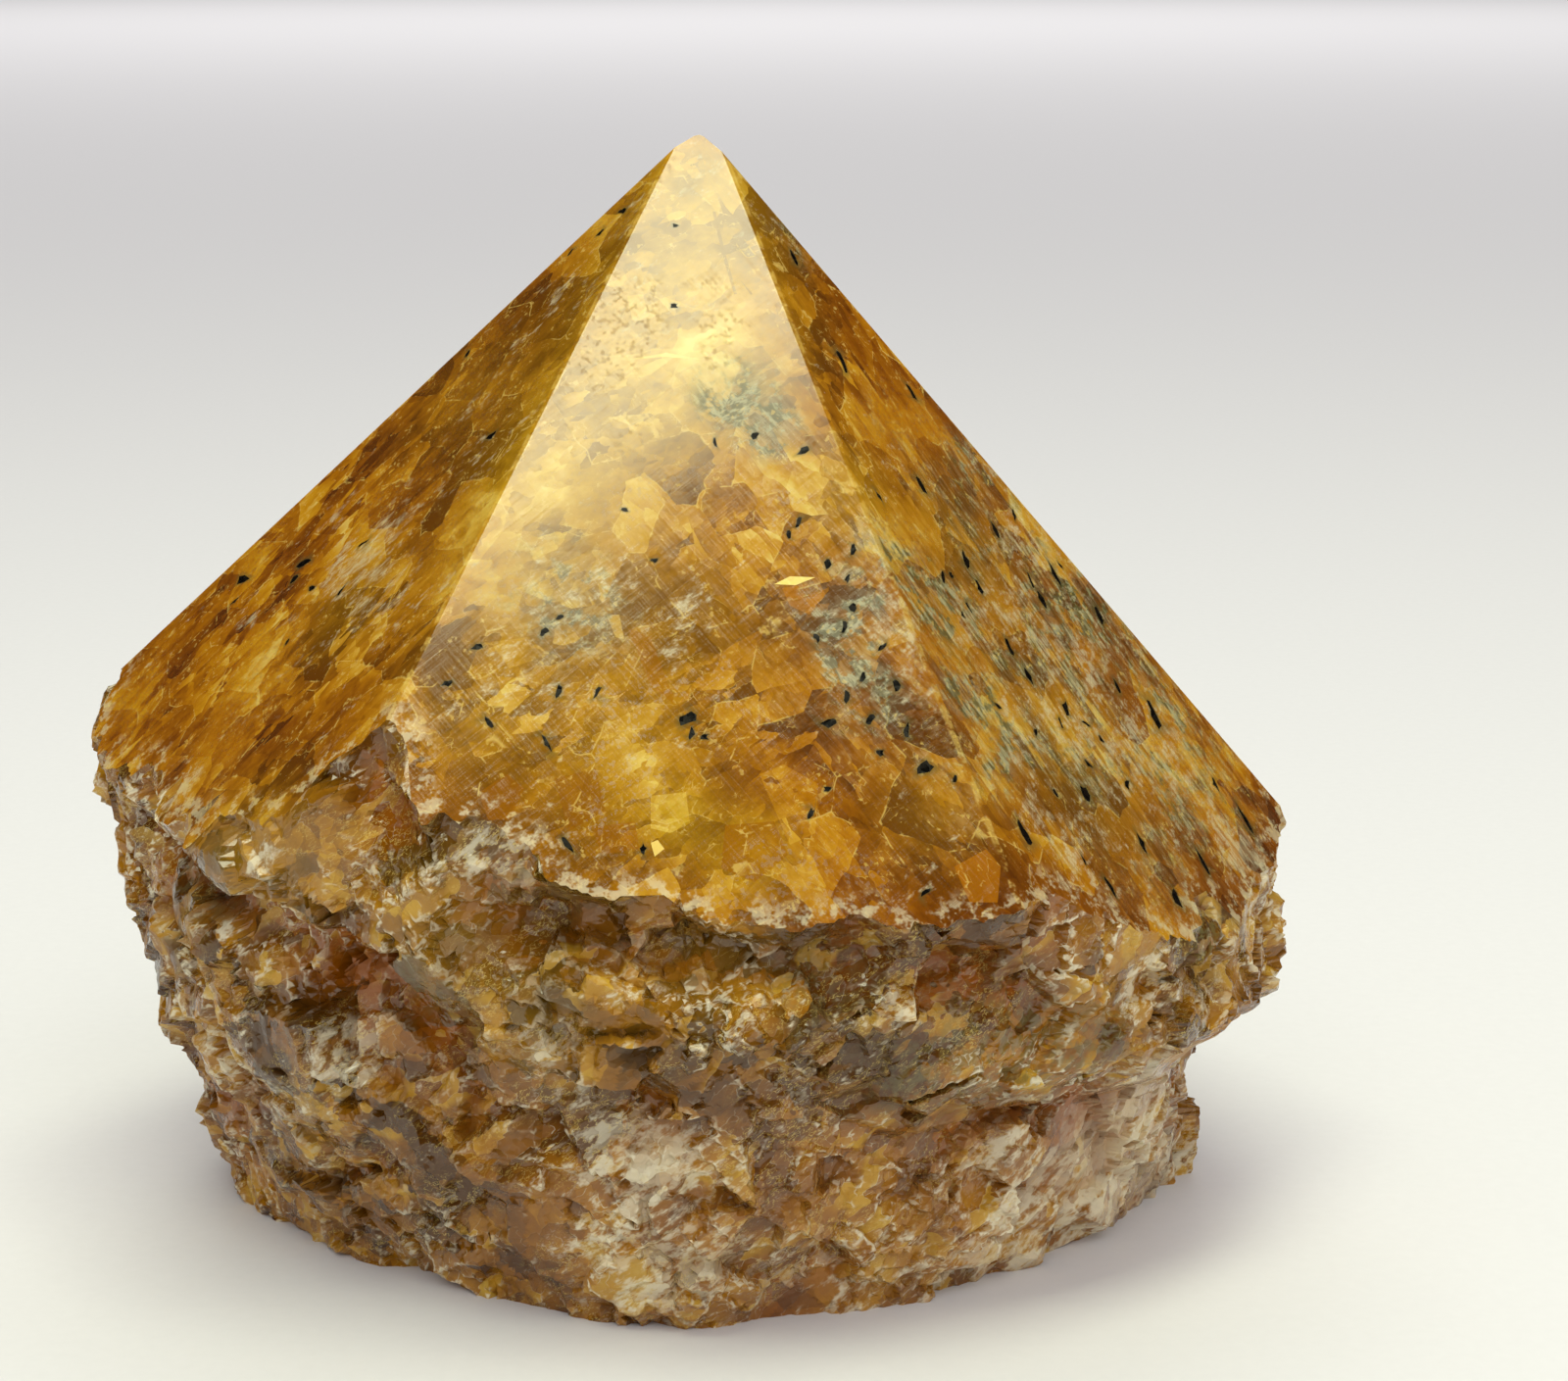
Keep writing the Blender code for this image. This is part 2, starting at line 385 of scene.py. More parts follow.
    def relief(self, azimuth: Array, height: Array) -> Array:
        """How far the ledges, valleys and pits move the side out.

        Args:
            azimuth: Degrees from the front.
            height: Height in millimetres.

        Returns:
            Rise at each place, in millimetres.
        """
        rise = np.zeros(len(azimuth))
        for ledge in self.ledges:
            run = -self.unrolled(np.array([ledge.start[0]]), np.array([ledge.start[1]]), ledge.end)[0]
            offset = self.unrolled(azimuth, height, ledge.start)
            along = np.clip(offset @ run / (run @ run), 0.0, 1.0)
            gap = np.linalg.norm(offset - along[:, None] * run, axis=1) / ledge.half_width
            rise += ledge.rise * np.exp(-gap * gap)
        for azimuth_at, height_at, radius, depth in self.pits:
            gap = np.linalg.norm(self.unrolled(azimuth, height, (azimuth_at, height_at)), axis=1) / radius
            rise -= depth * np.clip(1.0 - gap * gap, 0.0, None)
        return rise

    def grain_keys(self, spots: Array, size: float) -> Array:
        """Middle of the crystal that each spot lies in, in units of the crystals' size."""
        return np.array([noise.voronoi(Vector(spot))[1][0] for spot in (spots / size).tolist()])

    def grain_relief(self, spots: Array, keys: Array) -> Array:
        """Height of the flat face of each spot's crystal, over the lumps and knobs that it sits on.

        Args:
            spots: Points of the smooth side.
            keys: Middle of each spot's crystal, in units of the crystals' size.

        Returns:
            Height at each spot, in millimetres.
        """
        seen, which = np.unique(keys.round(5), axis=0, return_inverse=True)
        levels, leans = [], []
        for key in (Vector(row) for row in seen.tolist()):
            centre = key * self.grain_size
            level = self.lump_height * noise.noise(centre / self.lump_spacing)
            level += self.knob_height * noise.noise(centre / self.knob_spacing)
            levels.append(level + self.grain_step * noise.cell(key * self.step_key))
            leans.append(noise.cell_vector(key * self.lean_key) * 2.0 - Vector((1.0, 1.0, 1.0)))
        which = which.ravel()
        away = spots - keys * self.grain_size
        lean = np.array(leans)[which]
        return np.array(levels)[which] + self.grain_tilt * np.einsum("ij,ij->i", lean, away)

    def radius(self, azimuth: Array, height: Array) -> Array:
        """Radius of the side, read between the table's entries.

        Args:
            azimuth: Degrees from the front.
            height: Height in millimetres.

        Returns:
            Radius at each place.
        """
        column = (azimuth % 360.0) * self.table_columns / 360.0
        row = (height - self.table_low) / (self.table_high - self.table_low) * (self.table_rows - 1)
        row = np.clip(row, 0.0, self.table_rows - 1.001)
        left, under = np.floor(column).astype(int), np.floor(row).astype(int)
        across, up = column - left, row - under
        left %= self.table_columns
        right = (left + 1) % self.table_columns
        lower = self.table[left, under] * (1.0 - across) + self.table[right, under] * across
        upper = self.table[left, under + 1] * (1.0 - across) + self.table[right, under + 1] * across
        return lower * (1.0 - up) + upper * up


@dataclass
class Cleavage:
    """Splits each crystal into rhombs along its three cleavage directions.

    Attributes:
        lump: The stone that is split.
        fine_size: Size of the smaller crystals that some coarse ones break into.
        fine_shift: Sets the smaller crystals apart from the coarse ones, in millimetres.
        fine_share: Share of the coarse crystals that are broken into smaller ones.
        axis_angle: Degrees between a cleavage normal and the crystal's axis.
        layer: Thinnest and thickest sheet along the first direction.
        width: Narrowest and widest rhomb along the other two.
        thinness: Power that makes thin sheets and narrow rhombs the common ones.
        ragged: How far a rhomb may stand out of the side, or be missing from it.
        lean: How steeply a crystal's sheets may lean.
        sharpness: Share of the steps' height that is left, where the stone is worn and where it is fresh.
        patch_size: Size of the worn and the fresh patches.
        patch_contrast: How sharply one kind of patch gives way to the other.
        fray_size: Spacing of the frayed ridges that run along the bedding.
        fray_height: How far the frayed ridges stand out.
        fray_stretch: Scale of the ridges along the bedding and into the stone, against that across it.
        fray_octaves: Fall-off, step, number, offset and gain of the ridges' octaves.
        bedding: Degrees that the bedding climbs to the right, seen from the front.
        reach: How far outside and inside the side the surface is looked for.
        stride: Distance between the places that are looked at.
        crystal_share: How much of a rhomb's tone it has from its crystal.
    """

    lump: Lump
    fine_size: float = 3.3
    fine_shift: float = 40.0
    fine_share: float = 0.55
    axis_angle: float = 44.6
    layer: tuple[float, float] = (0.3, 0.8)
    width: tuple[float, float] = (1.6, 6.0)
    thinness: float = 1.6
    ragged: float = 0.18
    lean: float = 0.42
    sharpness: tuple[float, float] = (0.22, 0.76)
    patch_size: float = 9.0
    patch_contrast: float = 1.3
    fray_size: float = 4.0
    fray_height: float = 0.28
    fray_stretch: tuple[float, float] = (0.38, 0.6)
    fray_octaves: tuple[float, float, int, float, float] = (0.9, 2.2, 4, 1.0, 2.0)
    bedding: float = 38.0
    reach: tuple[float, float] = (1.7, -2.3)
    stride: float = 0.1
    crystal_share: float = 0.45

    @staticmethod
    def trio(keys: Array, stream: Stream) -> Array:
        """Three random values for each key."""
        return np.stack([scatter_code(keys, stream + number) for number in range(3)], axis=1)

    def directions(self, keys: Array, leans: Array, outward: Array) -> Array:
        """Three cleavage normals for each crystal.

        Args:
            keys: Whole numbers that stand for each crystal.
            leans: How each crystal's flat face leans.
            outward: Outward direction at each crystal.

        Returns:
            Normals, as crystal, direction and component.
        """
        first = unit(outward - leans)
        side = unit(np.cross(first, np.array([0.31, 0.17, 0.93])))
        other = np.cross(first, side)
        spin = 2.0 * np.pi * scatter_code(keys, Stream.AXIS)[:, None]
        tilt = math.radians(self.axis_angle)
        axis = math.cos(tilt) * first + math.sin(tilt) * (np.cos(spin) * side + np.sin(spin) * other)
        normals = [first]
        for turn in (2.0 * math.pi / 3.0, 4.0 * math.pi / 3.0):
            along = np.einsum("ij,ij->i", axis, first)[:, None] * (1.0 - math.cos(turn))
            turned = math.cos(turn) * first + math.sin(turn) * np.cross(axis, first) + along * axis
            normals.append(turned)
        return np.stack(normals, axis=1)

    def surface(self, azimuth: Array, height: Array) -> tuple[Array, Array]:
        """Where the outward line at each place leaves the rhombs.

        Args:
            azimuth: Degrees from the front.
            height: Height in millimetres.

        Returns:
            Radius of the surface, and a random value for the rhomb that it belongs to.
        """
        lump = self.lump
        base = lump.smooth_radius(azimuth, height)
        spots = around(azimuth, base, height)
        coarse = lump.grain_keys(spots, lump.grain_size)
        fine = lump.grain_keys(spots + self.fine_shift, self.fine_size)
        code = np.round(coarse * 1000.0)
        broken = scatter_code(code, Stream.BROKEN) < self.fine_share
        code = np.where(broken[:, None], np.round(fine * 1000.0) + 7.0, code)
        seen, first, which = np.unique(code, axis=0, return_index=True, return_inverse=True)
        which = which.ravel()
        lean = self.trio(seen, Stream.LEAN) * 2.0 - 1.0
        outward = unit(spots[first] * np.array([1.0, 1.0, 0.0]))
        normals = self.directions(seen, self.lean * lean, outward)
        least, most = np.array([self.layer, self.width, self.width]).T
        spans = least + (most - least) * self.trio(seen, Stream.SPAN) ** self.thinness
        shifts = self.trio(seen, Stream.SHIFT)
        inverse = np.linalg.inv(normals)
        start = lump.radius(azimuth, height)
        radius = start + self.reach[1]
        value = scatter_code(code, Stream.CRYSTAL)
        open_yet = np.ones(len(azimuth), dtype=bool)
        outward_at = around(azimuth, np.ones(len(azimuth)), np.zeros(len(azimuth)))
        for offset in np.arange(self.reach[0], self.reach[1], -self.stride):
            places = np.nonzero(open_yet)[0]
            if not len(places):
                break
            crystal = which[places]
            point = around(azimuth[places], start[places] + offset, height[places])
            along = np.einsum("ijk,ik->ij", normals[crystal], point)
            count = np.floor(along / spans[crystal] + shifts[crystal])
            middle = (count + 0.5 - shifts[crystal]) * spans[crystal]
            centre = np.einsum("ijk,ik->ij", inverse[crystal], middle)
            rhomb = np.concatenate([seen[crystal], count], axis=1)
            limit = lump.radius(azimuth_of(centre), centre[:, 2])
            limit += self.ragged * (2.0 * scatter_code(rhomb, Stream.RAGGED) - 1.0)
            filled = np.linalg.norm(centre[:, :2], axis=1) < limit
            if not filled.any():
                continue
            hit = places[filled]
            speed = np.einsum("ijk,ik->ij", normals[crystal[filled]], outward_at[hit])
            wall = (count[filled] + (speed > 0.0) - shifts[crystal[filled]]) * spans[crystal[filled]]
            run = (wall - along[filled]) / np.where(np.abs(speed) < 1e-6, 1e-6, speed)
            radius[hit] = start[hit] + offset + np.clip(run.min(axis=1), 0.0, self.stride)
            own = scatter_code(rhomb[filled], Stream.RHOMB)
            value[hit] = self.crystal_share * value[hit] + (1.0 - self.crystal_share) * own
            open_yet[hit] = False
        fresh, fray = self.weather(spots)
        radius = start + (radius - start) * fresh + self.fray_height * fray
        return radius, value

    def weather(self, spots: Array) -> tuple[Array, Array]:
        """How the break has weathered.

        Args:
            spots: Points of the smooth side.

        Returns:
            How fresh the break is at each spot, and how far its frayed ridges stand out there.
        """
        low, high = self.sharpness
        climb = math.radians(self.bedding)
        along, inward = self.fray_stretch
        across, deep, up = spots.T
        turned = np.stack(
            [
                along * (across * math.cos(climb) + up * math.sin(climb)),
                inward * deep,
                up * math.cos(climb) - across * math.sin(climb),
            ],
            axis=1,
        )
        fresh = np.array([noise.noise(Vector(spot)) for spot in (spots / self.patch_size).tolist()])
        fresh = low + (high - low) * np.clip(0.5 + self.patch_contrast * fresh, 0.0, 1.0)
        places = [Vector(spot) for spot in (turned / self.fray_size).tolist()]
        fray = [noise.ridged_multi_fractal(place, *self.fray_octaves) for place in places]
        return fresh, np.array(fray) - 1.0


@dataclass
class PhotoView:
    """The camera: where it stands, what it looks at and its lens, in millimetres.

    Attributes:
        stand: Place of the camera.
        aim: Place in the middle of the picture.
        lens: Focal length.
        film: Width of the film.
        size: Width and height of the picture in pixels.
        search: Nearest and farthest distance at which the stone is looked for.
        stride: Distance between the places that are looked at.
    """

    stand: tuple[float, float, float] = (7.6, -290.0, 105.0)
    aim: tuple[float, float, float] = (7.6, 0.0, 43.5)
    lens: float = 81.1
    film: float = 36.0
    size: tuple[int, int] = PHOTO_SIZE
    search: tuple[float, float] = (225.0, 330.0)
    stride: float = 0.25

    def rays(self, pixels: Array) -> Array:
        """Directions from the camera through pixels."""
        ahead = unit(np.array(self.aim) - np.array(self.stand))
        right = unit(np.cross(ahead, np.array([0.0, 0.0, 1.0])))
        up = np.cross(right, ahead)
        focal = self.lens / self.film * self.size[0]
        across = (pixels[:, 0] - self.size[0] / 2.0) / focal
        down = (pixels[:, 1] - self.size[1] / 2.0) / focal
        return ahead + across[:, None] * right - down[:, None] * up

    def onto_plane(self, pixels: Array, outward: Array, offset: float) -> Array:
        """Points of a plane behind pixels."""
        stand = np.array(self.stand)
        rays = self.rays(pixels)
        return stand + ((offset - stand @ outward) / (rays @ outward))[:, None] * rays

    def onto_stone(self, pixels: Array, lump: Lump, point: Point) -> Array:
        """Points of the stone's surface behind pixels.

        Args:
            pixels: Places in the photograph, one row each.
            lump: The broken stone.
            point: The ground facets.

        Returns:
            Points, one row each; a pixel past the outline gets one beside the stone's axis.
        """
        rays = unit(self.rays(pixels))
        stand = np.array(self.stand)
        found = stand + rays * abs(self.stand[1])
        open_yet = np.ones(len(pixels), dtype=bool)
        for distance in np.arange(*self.search, self.stride):
            spot = stand + rays * distance
            inside = np.linalg.norm(spot[:, :2], axis=1) < lump.radius(azimuth_of(spot), spot[:, 2])
            inside &= (point.over(spot).max(axis=1) < 0.0) & (spot[:, 2] > 0.0) & open_yet
            found[inside] = spot[inside]
            open_yet &= ~inside
        return found

    def camera(self) -> bpy.types.Object:
        """Camera of the scene."""
        eye = bpy.data.cameras.new("camera")
        eye.lens = self.lens
        eye.sensor_width = self.film
        eye.clip_start, eye.clip_end = 0.01, 20.0
        holder = add_object("camera", eye)
        shift = Vector(FOOT_CENTRE_SHIFT)
        stand, aim = Vector(self.stand) + shift, Vector(self.aim) + shift
        holder.location = stand * MILLIMETRE
        holder.rotation_euler = (aim - stand).to_track_quat("-Z", "Y").to_euler()
        bpy.context.scene.camera = holder
        return holder


class Wash(Enum):
    """Soft patches of colour in the stone."""

    SAGE = "sage"
    CHALK = "chalk"
    HONEY = "honey"
    AMBER = "amber"
    RUST = "rust"


@dataclass
class Sides:
    """Mesh of the broken sides, from the foot's edge to the rim of the ground facets.

    Attributes:
        cleavage: Gives the surface at any azimuth and height.
        point: The ground facets.
        columns: Upright lines of corners round the stone.
        rows: Steps from the foot to the rim.
        stray: How far a corner strays from the even grid, as a share of a step.
        stray_seed: Picks the random strays.
        still_rows: Rows under the rim whose corners don't stray sideways beside a facet edge.
        rim_pull: Power with which a column bends towards its place on the rim.
        steepest: Most that the rim may climb from one column to the next.
        lowest_rim: Height under which no facet reaches.
        highest_rim: Height over which no rough side reaches.
        scan: Step at which the rim is looked for.
        grazing: Least that a plane must face a place to limit it.
        edge_columns: Column on each facet edge.
        corners: Every corner, column by column.
        tone: Random value of each corner's rhomb.
    """

    cleavage: Cleavage
    point: Point
    columns: int = 660
    rows: int = 112
    stray: float = 0.36
    stray_seed: int = 19
    still_rows: int = 6
    rim_pull: int = 8
    steepest: float = 0.8
    lowest_rim: float = 22.0
    highest_rim: float = 54.0
    scan: float = 0.25
    grazing: float = 0.05
    edge_columns: list[int] = field(default_factory=list)
    corners: Array = field(default_factory=lambda: np.zeros((0, 3)))
    tone: Array = field(default_factory=lambda: np.zeros(0))

    def find_rim(self) -> tuple[Array, Array]:
        """Azimuth and height of the rim in each column, with a column on each facet edge.

        Returns:
            Azimuths and heights; the columns on facet edges are kept in edge_columns.
        """
        azimuths = np.arange(self.columns) * 360.0 / self.columns
        heights = np.arange(self.lowest_rim, self.highest_rim, self.scan)
        azimuth, height = (grid.ravel() for grid in np.meshgrid(azimuths, heights, indexing="ij"))
        radius, _ = self.cleavage.surface(azimuth, height)
        over = self.point.over(around(azimuth, radius, height)).max(axis=1)
        inside = over.reshape(self.columns, len(heights)) < 0.0
        table = radius.reshape(self.columns, len(heights))
        last = len(heights) - 1 - np.argmax(inside[:, ::-1], axis=1)
        rim = heights[last] + 0.5 * self.scan
        for _ in range(2):
            for step in (1, -1):
                for _ in range(12):
                    rim = np.maximum(rim, np.roll(rim, step) - self.steepest)
        for index in range(len(self.point.offsets)):
            start, step = self.point.edge_line(index)
            line = start + heights[:, None] * step
            line_azimuth = azimuth_of(line) % 360.0
            column = np.round(line_azimuth * self.columns / 360.0).astype(int) % self.columns
            reach = np.linalg.norm(line[:, :2], axis=1)
            outside = np.nonzero(reach > table[column, np.arange(len(heights))])[0]
            at = outside[-1] if len(outside) else 0
            own = int(column[at])
            while own in self.edge_columns:
                own = (own + 1) % self.columns
            self.edge_columns.append(own)
            rim[own] = heights[at] + 0.5 * self.scan
            azimuths[own] = float(azimuth_of(start + rim[own] * step) % 360.0)
        return azimuths, rim

    def plane_radius(self, azimuth: Array, height: Array, plane: Array) -> Array:
        """Radius at which a facet's plane is met.

        Args:
            azimuth: Degrees from the front.
            height: Height in millimetres.
            plane: Number of each place's plane.

        Returns:
            Radius at each place.
        """
        outward = self.point.normals[plane]
        level = self.point.offsets[plane] - outward[..., 2] * height
        along = np.einsum("...j,...j->...", outward, around(azimuth, np.ones_like(height), 0.0 * height))
        return level / along

    def build(self) -> None:
        """Place every corner of the grid, row by row in each column."""
        rim_azimuth, rim = self.find_rim()
        planes = np.zeros(self.columns, dtype=int)
        order = np.argsort(self.edge_columns)
        edges = np.array(self.edge_columns)[order]
        for first, second, index in zip(edges, np.roll(edges, -1), order):
            span = (second - first) % self.columns
            planes[(first + np.arange(1, span)) % self.columns] = (index + 1) % len(self.point.offsets)
            planes[first] = index
        random = np.random.default_rng(self.stray_seed)
        even = np.arange(self.columns) * 360.0 / self.columns
        share = (np.arange(self.rows + 1) + np.zeros((self.columns, 1))) / self.rows
        stray = random.uniform(-self.stray, self.stray, (2, self.columns, self.rows + 1))
        stray[:, :, [0, -1]] = 0.0
        for column in self.edge_columns:
            stray[0, column, -self.still_rows :] = 0.0
        climb = share + stray[1] / self.rows
        azimuth = even[:, None] + stray[0] * 360.0 / self.columns
        shift = (rim_azimuth - even + 180.0) % 360.0 - 180.0
        azimuth += shift[:, None] * climb**self.rim_pull
        height = climb * rim[:, None]
        radius, tone = self.cleavage.surface(azimuth.ravel(), height.ravel())
        radius = radius.reshape(azimuth.shape)
        outward_at = around(azimuth, np.ones_like(height), 0.0 * height)
        for normal, offset in zip(self.point.normals, self.point.offsets):
            facing = (normal @ outward_at[..., None])[..., 0]
            limit = (offset - normal[2] * height) / np.maximum(facing, self.grazing)
            radius = np.where(facing > self.grazing, np.minimum(radius, limit), radius)
        radius[:, -1] = self.plane_radius(azimuth[:, -1], height[:, -1], planes)
        self.corners = around(azimuth.ravel(), radius.ravel(), height.ravel())
        self.tone = tone

    def corner_id(self, column: int, row: int) -> int:
        """Number of the corner in a column and row."""
        return (column % self.columns) * (self.rows + 1) + row

    def triangles(self) -> Array:
        """Corner numbers of the side's triangles, each cell split along its shorter diagonal."""
        column, row = np.meshgrid(np.arange(self.columns), np.arange(self.rows), indexing="ij")
        following = (column + 1) % self.columns
        deep = self.rows + 1
        low, right = column * deep + row, following * deep + row
        high, corner = low + 1, right + 1
        low, right, high, corner = (ids.ravel() for ids in (low, right, high, corner))
        rising = np.linalg.norm(self.corners[low] - self.corners[corner], axis=1)
        falling = np.linalg.norm(self.corners[right] - self.corners[high], axis=1)
        split = (rising < falling)[:, None]
        first = np.where(split, np.stack([low, right, corner], 1), np.stack([low, right, high], 1))
        second = np.where(split, np.stack([low, corner, high], 1), np.stack([right, corner, high], 1))
        return np.concatenate([first, second])

    def crush(self) -> Array:
        """How sharply the surface stands out at each corner, over its neighbours, in millimetres."""
        grid = self.corners.reshape(self.columns, self.rows + 1, 3)
        near = np.roll(grid, 1, 0) + np.roll(grid, -1, 0)
        near[:, 1:-1] += grid[:, 2:] + grid[:, :-2]
        near[:, 1:-1] /= 2.0
        near /= 2.0
        outward = grid * np.array([1.0, 1.0, 0.0])
        outward /= np.linalg.norm(outward, axis=2, keepdims=True)
        return np.einsum("ijk,ijk->ij", grid - near, outward).ravel()


@dataclass(frozen=True)
class Speck:
    """A dark grain let in flush with a ground facet.

    Attributes:
        middle: Its middle, in the facet's own millimetres.
        length: Its length.
        width: Its width.
        slant: Degrees that it slants from level.
        sides: Number of its corners.
        uneven: Least share of its half length at which a corner lies, and how much more it may be.
        halved: What its length and its width are divided by to get an even grain's reach.
        key_step: Turns its middle into the key of its shape.
    """

    middle: tuple[float, float]
    length: float
    width: float
    slant: float
    sides: int = 8
    uneven: tuple[float, float] = (0.5, 0.9)
    halved: tuple[float, float] = (1.7, 2.0)
    key_step: float = 97.0

    def outline(self) -> Array:
        """Corners round the grain, in the facet's own millimetres."""
        turn = np.arange(self.sides) * 2.0 * np.pi / self.sides
        own = np.full(self.sides, round(self.middle[0] * self.key_step))
        reach = scatter_code(np.stack([np.arange(self.sides), own], 1), Stream.SPECK)
        reach = self.uneven[0] + self.uneven[1] * reach
        along = np.cos(turn) * self.length / self.halved[0] * reach
        across = np.sin(turn) * self.width / self.halved[1] * reach
        lean = math.radians(self.slant)
        across_facet = along * math.cos(lean) - across * math.sin(lean)
        up_facet = along * math.sin(lean) + across * math.cos(lean)
        return np.stack([across_facet, up_facet], axis=1) + np.array(self.middle)


@dataclass(frozen=True)
class Mark:
    """A patch of a facet with a crisp edge.

    Attributes:
        pixels: Its corners in the photograph.
        light: How much paler than its surroundings it is, from -1 to 1; over 0.9 it becomes a painted glint.
        warm: How much more orange than its surroundings it is, from -1 to 1.
        facet: Facet that it lies on.
    """

    pixels: Rows
    light: float
    warm: float
    facet: str = "front"


@dataclass
class FacetMesh:
    """Triangles of one ground plane, in its own millimetres: across, and up the slope.

    Attributes:
        point: All the ground planes.
        index: The plane that is meshed.
        spacing: Distance between inner corners.
        clearance: Least distance of an inner corner from the outline's, as a share of the spacing.
    """

    point: Point
    index: int
    spacing: float = 0.85
    clearance: float = 0.55

    def axes(self) -> tuple[Array, Array, Array]:
        """Origin, direction across and direction up the slope."""
        outward = self.point.normals[self.index]
        across = unit(np.cross(np.array([0.0, 0.0, 1.0]), outward))
        return outward * self.point.offsets[self.index], across, np.cross(outward, across)

    def flat(self, points: Array) -> Array:
        """Points in the plane's own millimetres."""
        origin, across, upward = self.axes()
        away = points - origin
        return np.stack([away @ across, away @ upward], axis=-1)

    def lifted(self, flat: Array) -> Array:
        """Points in space from the plane's own millimetres."""
        origin, across, upward = self.axes()
        return origin + flat[..., :1] * across + flat[..., 1:2] * upward

    def inner(self, outline: Array) -> Array:
        """Even spread of corners inside an outline, a little way in from it.

        Args:
            outline: Corners of the outline in order.

        Returns:
            The inner corners, one row each.
        """
        low, high = outline.min(axis=0), outline.max(axis=0)
        rise = self.spacing * math.sqrt(0.75)
        rows = np.arange(low[1], high[1], rise)
        spots = []
        for number, level in enumerate(rows):
            across = np.arange(low[0] + 0.5 * self.spacing * (number % 2), high[0], self.spacing)
            spots.append(np.stack([across, np.full(len(across), level)], axis=1))
        spots = np.concatenate(spots)
        follow = np.roll(outline, -1, axis=0)
        inside = np.zeros(len(spots), dtype=bool)
        nearest = np.full(len(spots), np.inf)
        for start, end in zip(outline, follow):
            crosses = (start[1] > spots[:, 1]) != (end[1] > spots[:, 1])
            rise_of = end[1] - start[1] if abs(end[1] - start[1]) > 1e-9 else 1e-9
            meets = start[0] + (spots[:, 1] - start[1]) / rise_of * (end[0] - start[0])
            inside ^= crosses & (spots[:, 0] < meets)
            nearest = np.minimum(nearest, np.hypot(*(spots - start).T))
        return spots[inside & (nearest > self.clearance * self.spacing)]


